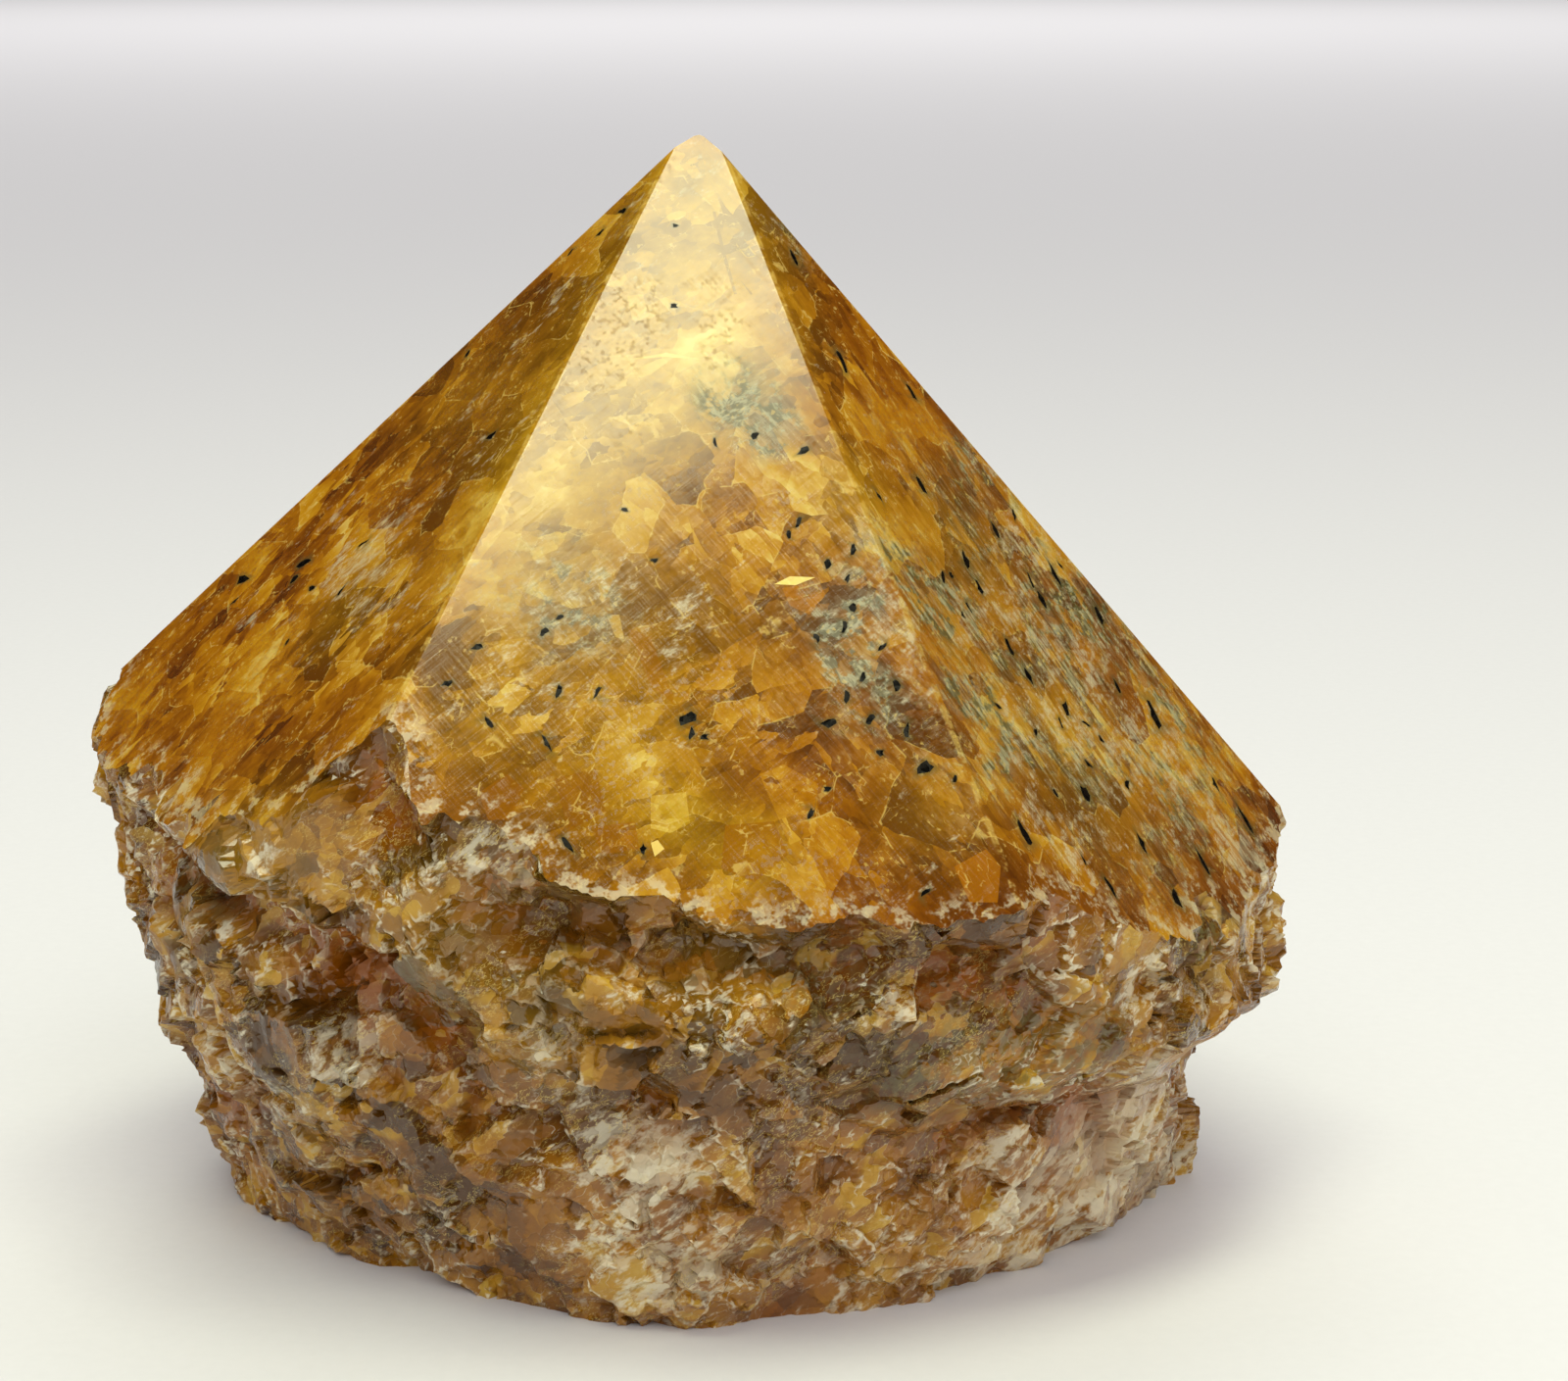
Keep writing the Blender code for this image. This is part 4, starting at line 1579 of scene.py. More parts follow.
@dataclass(frozen=True)
class PolishedCalcite:
    """Ground calcite: crystals of honey and amber under a satin face with fine scratches."""

    name: str = "polished calcite"
    roughness: float = 0.075
    translucence: float = 0.1
    refraction: float = 1.66
    lean: tuple[float, float, float] = (0.5, -0.35, 0.8)
    coarse: float = 0.15
    fine: float = 0.42
    lath: float = 0.75
    grit: float = 2.6
    scratches: Rows = ((0.95, 7.0), (-0.7, 9.0))
    amber: tuple = tint(84, 40, 1)
    rust: tuple = tint(122, 66, 1)
    orange: tuple = tint(158, 98, 3)
    honey: tuple = tint(184, 130, 18)
    cream: tuple = tint(206, 174, 88)
    chalk: tuple = tint(198, 186, 148)
    sage: tuple = tint(154, 150, 114)
    olive: tuple = tint(84, 78, 40)
    bronze: tuple = tint(150, 108, 8)
    yellow: tuple = tint(188, 150, 28)
    straw: tuple = tint(216, 194, 96)
    bright_orange: tuple = tint(186, 114, 4)
    # Pale yellow of the painted glints on the marks.
    painted_glint_tint: tuple = tint(240, 212, 116)

    def build(self, groups: Groups) -> bpy.types.Material:
        """Make the material."""
        material, nodes, shader = blank_finish(self.name)
        where = nodes.millimetres()
        leaned = nodes.turned(where, "EULER_XYZ", Rotation=self.lean)
        big = nodes.group(groups.blocks, where=leaned, density=self.coarse, wander=0.14)
        small = nodes.group(groups.blocks, where=leaned, density=self.fine, wander=0.22)
        spot = nodes.add("ShaderNodeSeparateXYZ")
        nodes.feed(spot.inputs[0], where)
        steep = nodes.math("MULTIPLY_ADD", spot.outputs["X"], 0.04, big["ToneAndShade"])
        steep = nodes.math("GREATER_THAN", steep, 0.85)
        bedded = nodes.combed(where, BEDDING_RUN, 0.3)
        combed = nodes.pick(steep, bedded, nodes.combed(where, STEEP_RUN, 0.16))
        laths = nodes.group(groups.blocks, where=combed, density=self.lath, wander=0.3)
        fibre = nodes.noise(combed, 2.4, 2.0, 0.65)
        grit = nodes.group(groups.grains, where=where, density=self.grit, wander=0.5)
        broad = nodes.noise(where, 0.09, 2.0, 0.6)
        streaks = nodes.noise(where, 0.6, 3.0, 0.7)
        patchy = nodes.between(streaks, 0.46, 0.62)
        zone = nodes.noise(where, 0.17, 1.0, 0.6)
        clear = nodes.between(zone, 0.4, 0.58, 0.3, 1.0)
        clear = nodes.times(clear, nodes.between(nodes.kept("amber"), 0.0, 0.8, 1.0, 0.45))
        facets = nodes.total(-0.29, (laths["ToneAndShade"], 0.38), (small["ToneAndShade"], 0.2))
        level = nodes.total(
            -0.53, (big["ToneAndShade"], 0.32), (facets, clear), (fibre, 0.26), (broad, 1.0), (streaks, 0.34),
            (nodes.kept("light"), 0.32), (nodes.kept("amber"), -0.28), (nodes.kept("chalk"), 0.22),
        )
        tones = (self.amber, self.rust, self.orange, self.honey, self.cream)
        colour = nodes.ramp(level, tuple(zip((0.08, 0.3, 0.5, 0.72, 0.98), tones)))
        golden = nodes.ramp(level, ((0.05, self.bronze), (0.45, self.yellow), (0.9, self.straw)))
        colour = nodes.coat(colour, golden, nodes.kept("honey"), 0.9)
        warmth = nodes.times(nodes.kept("warm"), 0.45, clamp=True)
        colour = nodes.blend(warmth, colour, self.bright_orange)
        # Marks with light over 0.9 become painted glints of pale yellow.
        colour = nodes.blend(nodes.between(nodes.kept("light"), 0.9, 1.3), colour, self.painted_glint_tint)
        seam = nodes.math("MULTIPLY_ADD", laths["Seam"], 0.8, big["Seam"], clamp=True)
        seam = nodes.times(seam, nodes.between(streaks, 0.47, 0.58))
        colour = nodes.coat(colour, self.cream, seam, 0.65)
        veil = nodes.group(groups.veils, where=where, amount=nodes.kept("chalk"))
        cloud = nodes.times(veil["Cloud"], nodes.between(fibre, 0.35, 0.65, 0.15, 0.6))
        colour = nodes.blend(cloud, colour, self.chalk)
        grey = nodes.times(nodes.kept("sage"), nodes.math("MULTIPLY_ADD", patchy, 0.9, 0.3))
        grey = nodes.times(grey, nodes.between(zone, 0.42, 0.56, 0.45, 1.5), clamp=True)
        stain = nodes.blend(nodes.between(fibre, 0.42, 0.62), self.olive, self.sage)
        colour = nodes.coat(colour, stain, grey, 0.9)
        # Painted glints: the brightest small grains turn cream, as fine sparkles on the gloss.
        painted_sparkle = nodes.between(grit["ToneAndShade"], 0.82, 1.0)
        colour = nodes.coat(colour, self.cream, painted_sparkle, nodes.between(streaks, 0.5, 0.62), 0.5)
        pitted = nodes.times(nodes.between(grit["ToneAndShade"], 0.22, 0.08), nodes.between(broad, 0.5, 0.6))
        colour = nodes.coat(colour, self.amber, pitted, 0.15)
        colour = nodes.coat(colour, self.olive, nodes.kept("halo"), 0.6)
        near = nodes.between(nodes.kept("rim"), 0.1, 2.8, 1.0, 0.0)
        crushed = nodes.times(near, nodes.between(streaks, 0.48, 0.6))
        colour = nodes.coat(colour, self.chalk, crushed, 0.55)
        # Pale line along the facet edges: partly wear and partly a painted highlight where an edge catches
        # the light.
        worn = nodes.between(nodes.kept("edge"), 0.0, 0.22, 1.0, 0.0)
        worn = nodes.times(worn, nodes.between(streaks, 0.44, 0.6))
        colour = nodes.coat(colour, self.cream, worn, 0.4)
        nodes.feed(shader.inputs["Base Color"], colour)
        drawn = nodes.kept("drawn", vector=True)
        scratch = []
        for angle, fineness in self.scratches:
            line = nodes.turned(drawn, "Z_AXIS", Angle=angle)
            brushed = nodes.vector("MULTIPLY", line, (0.12, fineness, 1.0))
            scratch.append(nodes.noise(brushed, 1.0, 1.0, 0.6))
        brushed = nodes.math("ADD", *scratch)
        rough = nodes.between(brushed, 0.9, 1.4, self.roughness, self.roughness + 0.2)
        rough = nodes.total(rough, (cloud, 0.2), (pitted, 0.2), (grey, 0.22), (crushed, 0.3))
        nodes.feed(shader.inputs["Roughness"], rough)
        raise_surface(nodes, shader, nodes.times(brushed, 0.0026))
        set_stone(shader, self.translucence, self.refraction)
        return material


@dataclass(frozen=True)
class BrokenCalcite:
    """Broken calcite: small cleavage flats of amber, tan and white, crushed pale where they stand out."""

    name: str = "broken calcite"
    roughness: float = 0.28
    refraction: float = 1.6
    shard: float = 0.26
    plate: float = 0.5
    umber: tuple = tint(72, 42, 2)
    amber: tuple = tint(128, 80, 2)
    orange: tuple = tint(166, 114, 10)
    tan: tuple = tint(190, 150, 48)
    cream: tuple = tint(212, 186, 104)
    chalk: tuple = tint(222, 214, 186)
    sage: tuple = tint(104, 100, 64)
    rust: tuple = tint(150, 98, 56)
    yellow: tuple = tint(184, 146, 40)
    # Deep orange of the painted glow in the hollows.
    painted_glow: tuple = tint(150, 80, 2)
    # Yellow of the painted glints on the broken plates.
    glint_gold: tuple = tint(206, 164, 44)
    sawn: bool = False

    def build(self, groups: Groups) -> bpy.types.Material:
        """Make the material."""
        material, nodes, shader = blank_finish(self.name)
        where = nodes.millimetres()
        shards = nodes.group(groups.blocks, where=where, density=self.shard, wander=0.5)
        bedded = nodes.combed(where, BEDDING_RUN, 0.55)
        plates = nodes.group(groups.blocks, where=bedded, density=self.plate, wander=0.35)
        broad = nodes.noise(where, 0.12, 2.0, 0.62)
        frayed = nodes.noise(bedded, 1.5, 2.0, 0.7)
        # Hollow depth: darkens the recesses below as painted shade.
        hollow = nodes.between(nodes.kept("hollow"), 0.0, 3.4)
        level = nodes.total(
            -0.66, (nodes.kept("tone"), 0.38), (shards["ToneAndShade"], 0.26), (plates["ToneAndShade"], 0.24),
            (frayed, 0.2), (broad, 0.95), (hollow, -0.3), (nodes.kept("amber"), -0.36),
            (nodes.kept("chalk"), 0.2),
        )
        tones = (self.umber, self.amber, self.orange, self.tan, self.cream)
        colour = nodes.ramp(level, tuple(zip((0.0, 0.27, 0.5, 0.76, 1.0), tones)))
        # Painted glow of light through the stone, laid into the hollows.
        glowing = nodes.between(shards["ToneAndShade"], 0.1, 0.9, 0.2, 0.8)
        colour = nodes.coat(colour, self.painted_glow, hollow, glowing)
        colour = nodes.coat(colour, self.yellow, nodes.kept("honey"), 0.55)
        colour = nodes.coat(colour, self.rust, nodes.kept("rust"), 0.45)
        # Painted glints: the brightest plates turn bright gold.
        painted_glint = nodes.between(plates["ToneAndShade"], 0.78, 0.96)
        colour = nodes.coat(colour, self.glint_gold, painted_glint, nodes.between(broad, 0.42, 0.56), 0.4)
        grey = nodes.times(nodes.kept("sage"), nodes.between(frayed, 0.4, 0.6), clamp=True)
        colour = nodes.coat(colour, self.sage, grey, 0.8)
        veil = nodes.group(groups.veils, where=where, amount=nodes.kept("chalk"))
        shown = nodes.math("MULTIPLY_ADD", hollow, -0.6, 0.78)
        shown = nodes.times(shown, nodes.between(plates["ToneAndShade"], 0.15, 0.8, 0.5, 1.0))
        colour = nodes.coat(colour, self.chalk, veil["Cloud"], shown)
        colour = nodes.coat(colour, self.cream, veil["Thread"], 0.6)
        torn = nodes.times(plates["Seam"], nodes.between(frayed, 0.44, 0.56))
        torn = nodes.times(torn, nodes.between(broad, 0.42, 0.58, 0.25, 1.0))
        clean = nodes.between(nodes.kept("amber"), 0.1, 0.7, 1.0, 0.3)
        colour = nodes.coat(colour, self.chalk, torn, clean, 0.75)
        crushed = nodes.times(nodes.between(nodes.kept("crush"), 0.03, 0.15), nodes.between(broad, 0.44, 0.6))
        crushed = nodes.times(crushed, nodes.between(frayed, 0.4, 0.6), clean)
        colour = nodes.coat(colour, self.chalk, crushed, 0.8)
        nodes.feed(shader.inputs["Base Color"], colour)
        height = nodes.times(shards["Lean"], 0.05 if self.sawn else 0.4)
        height = nodes.math("MULTIPLY_ADD", plates["Lean"], 0.03 if self.sawn else 0.55, height)
        rough = nodes.between(plates["ToneAndShade"], 0.2, 0.9, self.roughness - 0.16, self.roughness + 0.2)
        nodes.feed(shader.inputs["Roughness"], nodes.math("MULTIPLY_ADD", crushed, 0.25, rough))
        raise_surface(nodes, shader, height)
        shader.inputs["IOR"].default_value = self.refraction
        return material


@dataclass(frozen=True)
class DarkGrain:
    """Dark mineral grains, ground flush with the facets."""

    name: str = "dark grain"
    dark: tuple = tint(6, 5, 4)
    brown: tuple = tint(24, 18, 10)

    def build(self, groups: Groups) -> bpy.types.Material:
        """Make the material."""
        material, nodes, shader = blank_finish(self.name)
        where = nodes.millimetres()
        grit = nodes.group(groups.grains, where=where, density=2.4, wander=0.2)
        nodes.feed(shader.inputs["Base Color"], nodes.blend(grit["ToneAndShade"], self.dark, self.brown))
        nodes.feed(shader.inputs["Roughness"], nodes.between(grit["ToneAndShade"], 0.0, 1.0, 0.2, 0.4))
        shader.inputs["Specular IOR Level"].default_value = 0.15
        raise_surface(nodes, shader, nodes.times(grit["Lean"], 0.03))
        return material


def blank_finish(name: str) -> tuple[bpy.types.Material, Nodes, bpy.types.Node]:
    """New material, with short calls for its nodes and its shader."""
    material = bpy.data.materials.new(name)
    material.use_nodes = True
    nodes = Nodes(material.node_tree)
    return material, nodes, material.node_tree.nodes["Principled BSDF"]


def raise_surface(nodes: Nodes, shader: bpy.types.Node, height: Socket) -> None:
    """Feed a height in millimetres to the shader's normal."""
    bump = nodes.add("ShaderNodeBump")
    bump.inputs["Distance"].default_value = MILLIMETRE
    nodes.feed(bump.inputs["Height"], height)
    nodes.feed(shader.inputs["Normal"], bump.outputs[0])


def set_stone(shader: bpy.types.Node, translucence: float, refraction: float) -> None:
    """Set what is the same all over calcite: how light enters it and how it reflects."""
    shader.inputs["Subsurface Weight"].default_value = translucence
    shader.inputs["Subsurface Radius"].default_value = (1.0, 0.45, 0.15)
    shader.inputs["Subsurface Scale"].default_value = 3.0 * MILLIMETRE
    shader.inputs["IOR"].default_value = refraction


@dataclass
class Studio:
    """Pale floor, overhead softbox and soft light from all round.

    Attributes:
        floor_radius: Radius of the floor in metres.
        box_centre: Middle of the softbox, in metres.
        box_size: Width and depth of the softbox, in metres.
        box_turn: Degrees that the softbox is turned about the upright axis.
        box_power: Power of the softbox in watts.
        sky: Strength of the light from all round.
        dim: Strength at which that light shows in reflections, as in a room that is dark behind the lights.
        window_from: Azimuth and height, in degrees, of the soft light at the right.
        window_distance: Its distance from the stone, in metres.
        window_size: Its width and height, in metres.
        window_power: Its power in watts.
        lamp_count: Lamps over the far floor, which keep it as pale as the near floor.
        lamp_distance: Their distance from the stone, in metres.
        lamp_height: Their height, in metres.
        lamp_size: Width of each, in metres.
        lamp_power: Power of each, in watts.
    """

    floor_radius: float = 14.0
    box_centre: tuple[float, float, float] = (-0.03, -0.205, 0.78)
    box_size: tuple[float, float] = (0.6, 0.27)
    box_turn: float = 35.6
    box_power: float = 3.9
    sky: float = 0.5
    dim: float = 0.02
    window_from: tuple[float, float] = (48.0, 26.0)
    window_distance: float = 1.3
    window_size: float = 1.9
    window_power: float = 4.6
    lamp_count: int = 2
    lamp_distance: float = 4.5
    lamp_height: float = 3.2
    lamp_size: float = 4.0
    lamp_power: float = 115.0

    @staticmethod
    def hang(name: str, size: tuple[float, float], power: float, colour: tuple) -> bpy.types.Object:
        """New soft rectangular light."""
        light = bpy.data.lights.new(name, "AREA")
        light.shape = "RECTANGLE"
        light.size, light.size_y = size
        light.energy = power
        light.color = colour
        return add_object(name, light)

    def build(self) -> None:
        """Make the floor and the lights."""
        scene = bpy.context.scene
        scene.view_settings.view_transform = "Standard"
        model = bmesh.new()
        bmesh.ops.create_circle(model, cap_ends=True, segments=96, radius=self.floor_radius)
        mesh = bpy.data.meshes.new("floor")
        model.to_mesh(mesh)
        model.free()
        floor = add_object("floor", mesh)
        material, nodes, shader = blank_finish("floor paper")
        tooth = nodes.noise(nodes.millimetres(), 0.8, 3.0, 0.6)
        nodes.feed(shader.inputs["Base Color"], nodes.blend(tooth, tint(218, 217, 220), tint(223, 222, 225)))
        shader.inputs["Roughness"].default_value = 0.9
        shader.inputs["Specular IOR Level"].default_value = 0.2
        mesh.materials.append(material)
        box = self.hang("overhead softbox", self.box_size, self.box_power, (0.95, 1.0, 0.73))
        box.location = self.box_centre
        box.rotation_euler = (0.0, 0.0, math.radians(self.box_turn))
        size, colour = (self.window_size,) * 2, (1.0, 0.98, 0.95)
        window = self.hang("window at the right", size, self.window_power, colour)
        azimuth, climb = self.window_from
        level = math.cos(math.radians(climb)) * self.window_distance
        rise = math.sin(math.radians(climb)) * self.window_distance
        window.location = around(np.array(azimuth), np.array(level), np.array(rise)).tolist()
        window.rotation_euler = window.location.to_track_quat("Z", "Y").to_euler()
        window.visible_glossy = False
        size, colour = (self.lamp_size,) * 2, (1.0, 0.99, 0.97)
        for number in range(self.lamp_count):
            lamp = self.hang(f"far lamp {number + 1}", size, self.lamp_power, colour)
            turn = np.array(180.0 + 360.0 / self.lamp_count * number)
            lamp.location = around(turn, np.array(self.lamp_distance), np.array(self.lamp_height)).tolist()
            lamp.visible_glossy = False
        world = bpy.data.worlds.new("soft room")
        world.use_nodes = True
        room = Nodes(world.node_tree)
        glow = world.node_tree.nodes["Background"]
        glow.inputs["Color"].default_value = (1.0, 0.985, 0.96, 1.0)
        mirrored = room.add("ShaderNodeLightPath").outputs["Is Glossy Ray"]
        room.feed(glow.inputs["Strength"], room.math("MULTIPLY_ADD", mirrored, self.dim - self.sky, self.sky))
        scene.world = world


# Dark grains that the photograph shows: pixel, length, width and slant from level
SEEN_SPECKS: dict[str, Rows] = {
    "front": (
        (845, 575, 0.8, 0.5, 70), (862, 640, 1.0, 0.5, 80), (880, 690, 0.8, 0.5, 60),
        (925, 745, 1.0, 0.6, 75), (935, 690, 1.0, 0.6, 85), (960, 650, 0.9, 0.5, 80),
        (870, 560, 0.9, 0.5, 70), (955, 720, 0.8, 0.5, 40), (905, 600, 1.1, 0.5, 85),
        (940, 560, 0.9, 0.5, 80), (700, 733, 1.2, 1.0, 20), (706, 748, 1.1, 0.5, 70),
        (570, 705, 1.0, 0.4, 70), (610, 705, 1.1, 0.4, 60), (487, 660, 0.8, 0.5, 20),
        (455, 697, 0.9, 0.5, 30), (500, 738, 1.1, 0.4, 120), (555, 645, 0.7, 0.5, 40),
        (878, 462, 1.3, 0.8, 80), (820, 460, 0.9, 0.5, 30), (910, 630, 1.0, 0.5, 90),
        (870, 620, 0.9, 0.5, 80), (848, 738, 1.3, 0.9, 30), (865, 590, 0.8, 0.4, 60),
        (833, 650, 0.7, 0.4, 100), (944, 783, 1.2, 1.0, 40), (898, 768, 0.6, 0.5, 0), (718, 752, 0.7, 0.5, 0),
        (805, 545, 0.7, 0.4, 80), (770, 445, 0.7, 0.5, 30), (900, 660, 0.7, 0.4, 45),
        (888, 735, 0.8, 0.5, 60), (915, 700, 0.8, 0.5, 100), (975, 795, 0.7, 0.4, 70),
        (945, 910, 1.0, 0.5, 20), (845, 805, 0.6, 0.4, 0), (571, 630, 0.6, 0.4, 30), (668, 572, 0.5, 0.4, 0),
        (638, 520, 0.5, 0.4, 0), (688, 312, 0.6, 0.5, 0), (690, 230, 0.5, 0.4, 0),
    ),
    "left": (
        (502, 444, 0.7, 0.5, 40), (247, 592, 1.1, 0.9, 20), (310, 575, 0.9, 0.6, 30),
        (300, 590, 0.7, 0.5, 60), (318, 600, 0.5, 0.4, 0), (527, 300, 0.7, 0.4, 30), (585, 255, 0.9, 0.4, 20),
        (635, 215, 0.6, 0.4, 0), (308, 805, 0.7, 0.5, 30), (570, 390, 0.4, 0.3, 0),
    ),
    "right": (
        (752, 187, 0.8, 0.4, 60), (860, 370, 1.2, 0.4, 75), (940, 495, 1.1, 0.4, 80),
        (965, 420, 1.2, 0.5, 80), (973, 721, 1.2, 0.6, 70), (1046, 850, 1.3, 0.6, 80),
        (1107, 810, 1.1, 0.7, 60), (1076, 585, 1.2, 0.4, 80), (1122, 628, 1.1, 0.4, 80),
        (1178, 730, 1.7, 0.6, 80), (1200, 915, 1.2, 0.8, 60), (1133, 905, 1.1, 0.4, 85),
        (1228, 880, 1.4, 0.4, 85), (1270, 835, 1.3, 0.4, 85), (985, 570, 0.9, 0.5, 60),
        (1000, 600, 0.8, 0.4, 90), (1050, 690, 0.9, 0.4, 80), (1088, 722, 0.8, 0.5, 45),
        (810, 262, 1.1, 0.4, 75), (855, 290, 1.0, 0.4, 70), (915, 350, 0.9, 0.4, 80),
        (930, 400, 1.0, 0.4, 80), (1015, 540, 0.8, 0.4, 80), (1062, 610, 0.9, 0.4, 80),
        (1030, 660, 0.8, 0.4, 80), (1140, 700, 1.0, 0.4, 80), (1240, 800, 0.9, 0.4, 80),
        (1165, 860, 0.9, 0.4, 80), (1150, 800, 0.7, 0.4, 40),
    ),
}


@dataclass
class SpeckScatter:
    """Places the seen dark grains, and scatters more over each facet.

    Attributes:
        point: The ground facets.
        view: Places pixels on a facet.
        extra: How many more grains each facet gets.
        first_seed: Picks the random places on the first facet, and the next numbers on the others.
        clumps: How many clumps the scattered ones form, and how far they spread round their middles.
        clump_place: How far those lie off the middle line, and their most and least depth under the tip.
        tip: Height of the tip.
        length: Least and most length of the scattered ones.
        width: Their least and most width.
        slant: Slant that most of them share.
        slant_spread: How far theirs differ from it.
        seen_scale: How much larger the seen grains of a facet are than the table says.
    """

    point: Point
    view: PhotoView
    extra: dict[str, int] = field(
        default_factory=lambda: {
            "front": 22, "right": 75, "left": 10, "back_right": 45, "back": 40, "back_left": 35
        }
    )
    first_seed: int = 100
    clumps: tuple[int, float] = (9, 4.5)
    clump_place: tuple[float, float, float] = (24.0, 62.0, 6.0)
    tip: float = 88.0
    length: tuple[float, float] = (0.5, 1.2)
    width: tuple[float, float] = (0.3, 0.5)
    slant: float = 76.0
    slant_spread: float = 24.0
    seen_scale: dict[str, float] = field(default_factory=lambda: {"front": 0.95, "right": 1.5, "left": 1.35})

    def place(self, name: str) -> list[Speck]:
        """Dark grains of one facet."""
        index = self.point.names.index(name)
        mesh = FacetMesh(self.point, index)
        outward, offset = self.point.normals[index], self.point.offsets[index]
        found = []
        grown = self.seen_scale.get(name, 1.0)
        for across, down, length, width, slant in SEEN_SPECKS.get(name, ()):
            spot = mesh.flat(self.view.onto_plane(np.array([[across, down]], float), outward, offset))[0]
            found.append(Speck((float(spot[0]), float(spot[1])), grown * length, grown * width, slant))
        random = np.random.default_rng(self.first_seed + list(FACETS).index(name))
        top = mesh.flat(np.array([[0.0, 0.0, self.tip]]))[0][1]
        count, spread = self.clumps
        beside, most, least = self.clump_place
        clumps = random.uniform((-beside, top - most), (beside, top - least), (count, 2))
        for number in range(self.extra[name]):
            spot = clumps[number % count] + random.normal(0.0, spread, 2)
            length = random.uniform(*self.length)
            slant = self.slant + random.normal(0.0, self.slant_spread)
            found.append(Speck((float(spot[0]), float(spot[1])), length, random.uniform(*self.width), slant))
        return found


# Patches with a crisp edge; those with light over 0.9 are painted glints.
MARKS: tuple[Mark, ...] = (
    Mark(((790, 596), (806, 588), (832, 589), (812, 597)), 1.4, -0.4),
    Mark(((798, 600), (836, 594), (842, 606), (826, 627), (806, 618)), 0.1, 1.0),
    Mark(((640, 640), (664, 650), (690, 720), (664, 700)), -0.25, 0.5),
    Mark(((780, 640), (772, 668), (704, 738), (692, 718), (730, 668)), 0.2, 0.2),
    Mark(((619, 628), (632, 627), (637, 652), (628, 650)), 1.0, -0.4),
    Mark(((500, 655), (540, 650), (560, 668), (520, 682)), 0.5, -0.2),
    Mark(((506, 690), (536, 692), (540, 704), (512, 708)), 0.5, -0.2),
    Mark(((412, 735), (445, 745), (462, 770), (452, 796), (432, 776)), 0.4, -0.2),
    Mark(((664, 812), (700, 808), (704, 840), (684, 850), (664, 845)), 0.8, 0.0),
    Mark(((664, 860), (671, 857), (678, 866), (668, 874)), 1.15, -0.4),
    Mark(((775, 790), (800, 780), (835, 800), (832, 850), (806, 862)), 0.45, 0.0),
    Mark(((740, 842), (790, 838), (804, 872), (770, 900), (736, 886)), -0.7, 0.6),
    Mark(((964, 880), (1008, 856), (1028, 880), (1024, 930), (985, 930)), -0.15, 1.0),
    Mark(((478, 806), (520, 778), (545, 800), (524, 846), (492, 846)), -0.5, 0.6),
    Mark(((566, 794), (608, 784), (618, 828), (580, 848)), -0.55, 0.5),
    Mark(((604, 844), (648, 838), (652, 866), (614, 872)), -0.45, 0.6),
    Mark(((640, 302), (656, 300), (662, 322), (646, 330)), 0.7, -0.3),
    Mark(((640, 367), (680, 360), (718, 367), (680, 364)), 1.0, -0.3),
    Mark(((727, 216), (730, 215), (740, 258), (752, 300), (749, 300), (737, 260)), -0.8, 0.0),
    Mark(((755, 285), (768, 300), (766, 301)), -0.8, 0.0),
)

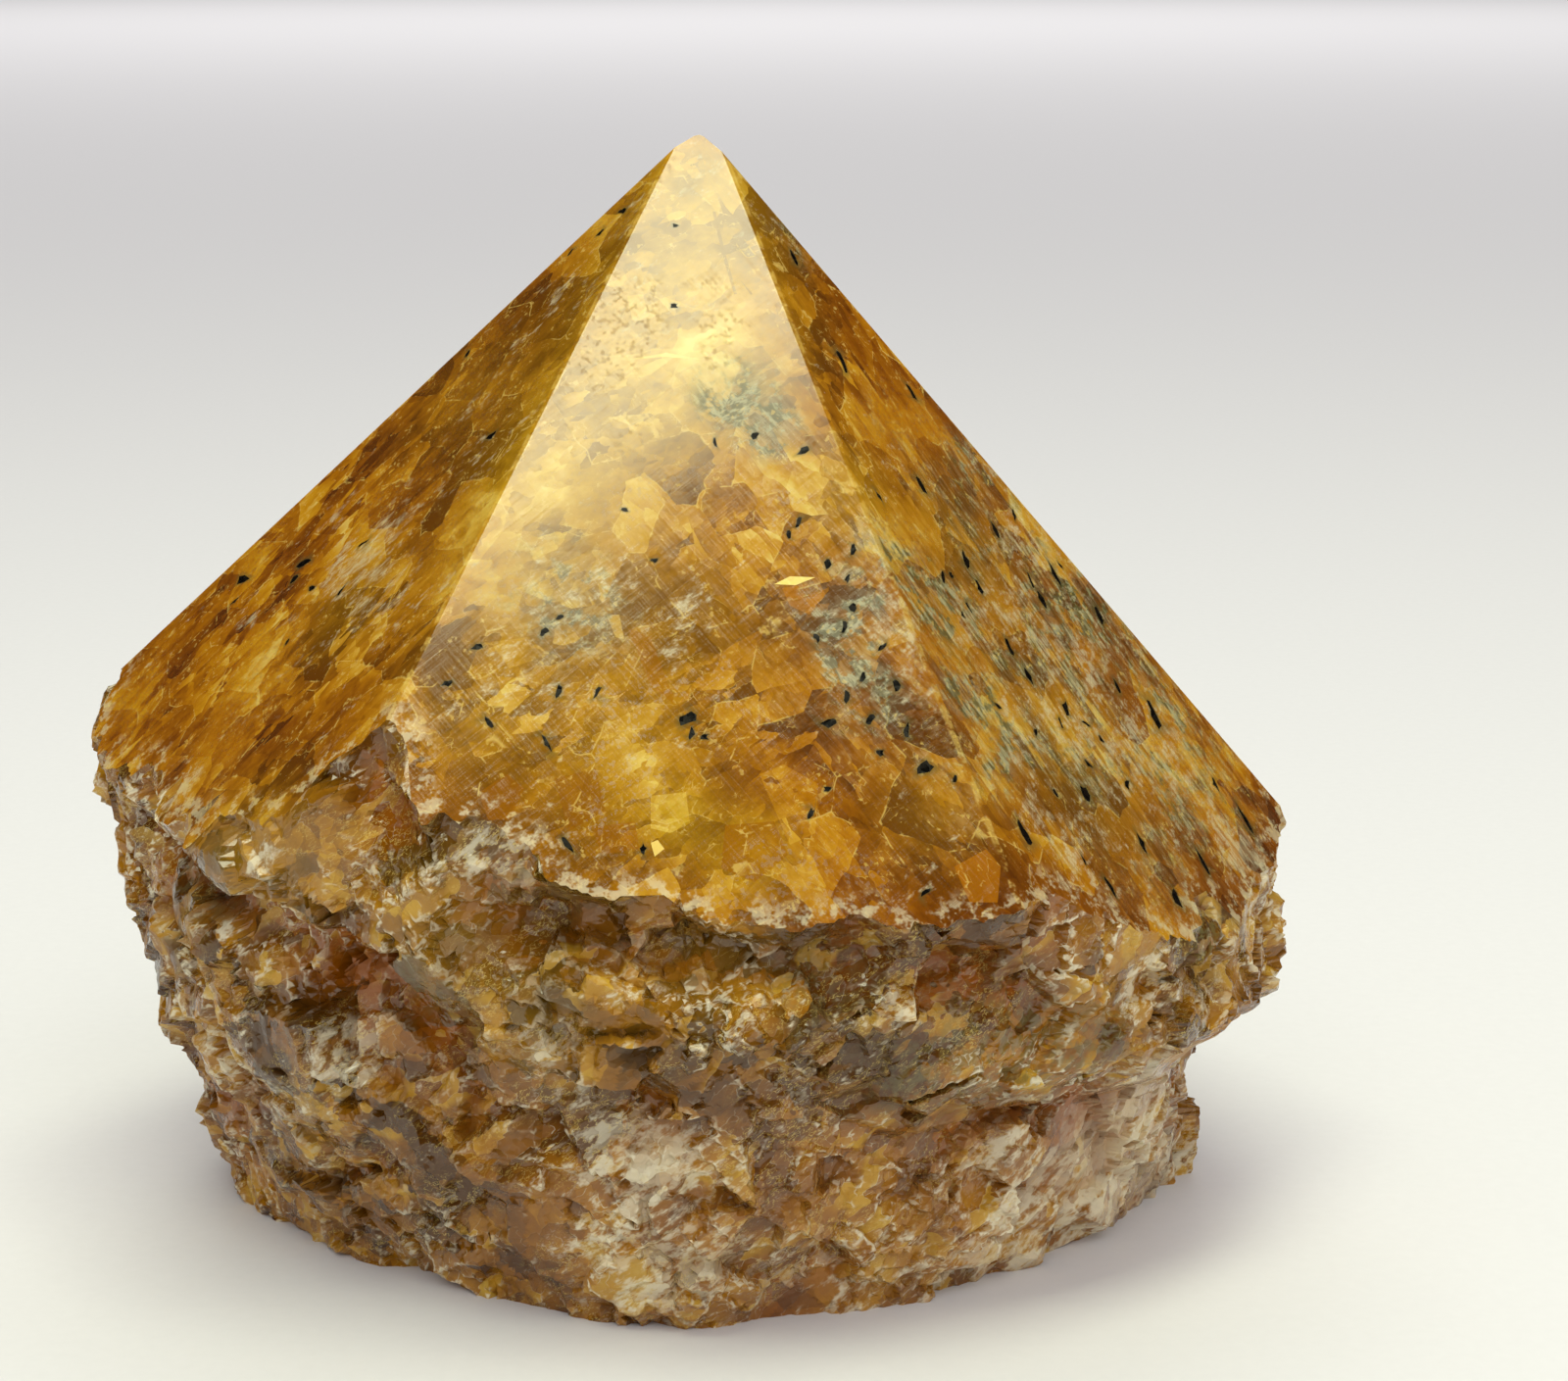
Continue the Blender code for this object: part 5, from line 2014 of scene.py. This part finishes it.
# Soft patches that the photograph shows: pixel, reach in millimetres and strength
SEEN_WASHES: dict[Wash, Rows] = {
    Wash.SAGE: (
        (1060, 600, 15.0, 0.45), (1180, 800, 14.0, 0.45), (1000, 720, 9.0, 0.45), (752, 403, 2.6, 1.9),
        (784, 438, 2.0, 1.6), (580, 615, 5.0, 0.6), (895, 662, 5.5, 1.0), (920, 580, 3.5, 0.6),
        (950, 620, 4.0, 0.7), (985, 700, 4.5, 0.75), (1010, 760, 3.5, 0.6), (1110, 620, 3.5, 0.6),
        (1190, 730, 3.0, 0.6), (810, 245, 2.5, 0.6), (985, 470, 2.5, 0.6), (1230, 960, 3.0, 0.7),
        (1010, 1085, 7.0, 0.7), (1110, 1075, 6.0, 0.6), (930, 1110, 4.0, 0.5), (830, 1000, 5.0, 0.5),
        (200, 900, 7.0, 0.5), (300, 1150, 7.0, 0.4), (440, 1010, 4.0, 0.6),
    ),
    Wash.CHALK: (
        (640, 1270, 7.0, 0.5), (1060, 1180, 9.0, 0.4), (1110, 730, 14.0, 0.6), (380, 580, 5.0, 0.35),
        (540, 620, 6.0, 0.3), (500, 720, 5.0, 0.2), (370, 560, 5.0, 0.45), (905, 640, 2.6, 0.7),
        (668, 1188, 3.2, 1.0), (250, 1080, 5.5, 0.7), (370, 1060, 4.0, 0.6), (265, 885, 3.5, 0.7),
        (520, 885, 3.4, 0.6), (640, 980, 4.5, 0.5), (1120, 1155, 10.0, 1.2), (660, 1180, 4.0, 0.6),
        (1180, 1200, 7.0, 0.8), (1000, 1280, 6.0, 0.6), (850, 1330, 5.0, 0.6), (1260, 870, 4.0, 0.6),
        (1090, 880, 4.5, 0.5), (1160, 1010, 4.0, 0.5), (720, 1290, 5.0, 0.6), (930, 1040, 3.0, 0.6),
        (560, 1080, 3.0, 0.5), (690, 330, 5.0, 0.4),
    ),
    Wash.HONEY: (
        (540, 620, 8.0, 0.5), (700, 640, 9.0, 0.35), (480, 730, 6.0, 0.4), (360, 620, 6.0, 0.4),
        (620, 830, 9.0, 0.3), (645, 410, 8.0, 0.8), (690, 290, 8.0, 0.8), (720, 200, 6.0, 0.8),
        (560, 490, 7.0, 0.75), (740, 380, 6.0, 0.6), (860, 500, 5.0, 0.5), (690, 835, 2.6, 0.9),
        (765, 870, 3.4, 0.7), (640, 760, 5.0, 0.35), (260, 870, 6.0, 0.5), (450, 940, 5.0, 0.5),
        (720, 990, 5.0, 0.4), (550, 1060, 6.0, 0.4), (480, 400, 8.0, 0.25), (950, 830, 5.0, 0.3),
        (1090, 770, 9.0, 0.35), (980, 560, 7.0, 0.3),
    ),
    Wash.AMBER: (
        (380, 1120, 14.0, 0.5), (760, 1080, 12.0, 0.4), (520, 1000, 8.0, 0.4), (725, 175, 3.0, 0.5),
        (540, 340, 9.0, 0.55), (430, 490, 9.0, 0.6), (1200, 900, 8.0, 0.4), (520, 820, 5.0, 0.6),
        (600, 820, 4.5, 0.6), (700, 600, 7.0, 0.35), (660, 700, 6.0, 0.3), (900, 870, 8.0, 0.6),
        (1000, 900, 5.0, 0.45), (590, 930, 5.0, 0.6), (830, 960, 5.0, 0.5), (950, 975, 6.0, 0.6),
        (420, 830, 6.0, 0.5), (900, 420, 9.0, 0.4), (1180, 885, 8.0, 1.0), (560, 980, 5.0, 0.8),
        (360, 1140, 9.0, 0.7), (925, 1030, 7.0, 0.8), (530, 370, 8.0, 0.5), (440, 530, 7.0, 0.3),
    ),
    Wash.RUST: (
        (1000, 1220, 12.0, 0.7), (800, 1250, 10.0, 0.6), (1150, 1120, 9.0, 0.6), (600, 1260, 10.0, 0.4),
        (1080, 880, 5.0, 0.5), (360, 480, 4.0, 0.4),
    ),
}

# Farthest and nearest distance from the axis at which a hidden patch is looked for, and the step
HIDDEN_SEARCH = (60.0, 1.0, -0.5)

# Soft patches of the hidden sides: azimuth, height, reach and strength
HIDDEN_WASHES: dict[Wash, Rows] = {
    Wash.SAGE: (
        (110, 45, 7, 0.6), (150, 20, 8, 0.5), (205, 60, 6, 0.6), (245, 40, 7, 0.5), (262, 12, 7, 0.4)
    ),
    Wash.CHALK: (
        (125, 12, 7, 0.6), (170, 34, 6, 0.6), (215, 14, 8, 0.6), (240, 55, 6, 0.5), (95, 60, 6, 0.5)
    ),
    Wash.HONEY: ((140, 55, 7, 0.4), (190, 22, 7, 0.5), (255, 24, 7, 0.4), (180, 70, 5, 0.4)),
    Wash.AMBER: (
        (160, 50, 9, 0.5), (225, 48, 8, 0.45), (118, 30, 7, 0.5), (200, 30, 6, 0.5), (130, 72, 6, 0.4)
    ),
    Wash.RUST: ((110, 12, 10, 0.6), (185, 8, 9, 0.5), (228, 26, 8, 0.4), (75, 8, 8, 0.5)),
}


def find_washes(view: PhotoView, lump: Lump, point: Point) -> tuple:
    """Find every soft patch on the stone.

    Args:
        view: Places the pixels of the seen ones.
        lump: The broken stone.
        point: The ground facets.

    Returns:
        Each patch's kind, middle, reach and strength.
    """
    found = []
    for wash, patches in SEEN_WASHES.items():
        pixels = np.array([patch[:2] for patch in patches], float)
        for middle, patch in zip(view.onto_stone(pixels, lump, point), patches):
            found.append((wash, middle, patch[2], patch[3]))
    for wash, patches in HIDDEN_WASHES.items():
        for azimuth, height, reach, strength in patches:
            aim = around(np.array([azimuth], float), np.array([1.0]), np.array([height], float))[0]
            outward = aim * np.array([1.0, 1.0, 0.0])
            middle = aim
            for distance in np.arange(*HIDDEN_SEARCH):
                spot = outward * distance + np.array([0.0, 0.0, height])
                low = lump.radius(azimuth_of(spot[None]), np.array([height]))[0]
                if distance < low and point.over(spot).max() < 0.0:
                    middle = spot
                    break
            found.append((wash, middle, reach, strength))
    return tuple(found)


def main() -> None:
    """Build the stone and the studio, and report the lump and the stone's corners and triangles."""
    logging.basicConfig(level=logging.INFO, format="%(name)s: %(message)s")
    view = PhotoView()
    view.camera()
    Studio().build()
    point = Point()
    lump = Lump()
    LOG.info("lump measured")
    sides = Sides(Cleavage(lump), point)
    scatter = SpeckScatter(point, view)
    specks = {name: scatter.place(name) for name in FACETS}
    model = Stone(view, lump, point, sides, specks, MARKS)
    stone = model.build(find_washes(view, lump, point))
    groups = Groups()
    for finish in (
        PolishedCalcite(),
        BrokenCalcite(),
        DarkGrain(),
        BrokenCalcite(name="sawn calcite", sawn=True, roughness=0.5),
    ):
        stone.data.materials.append(finish.build(groups))
    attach(stone, "root")
    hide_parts(NODE)
    LOG.info("%s: %d corners, %d triangles", stone.name, len(stone.data.vertices), len(stone.data.polygons))


if __name__ == "__main__":
    main()
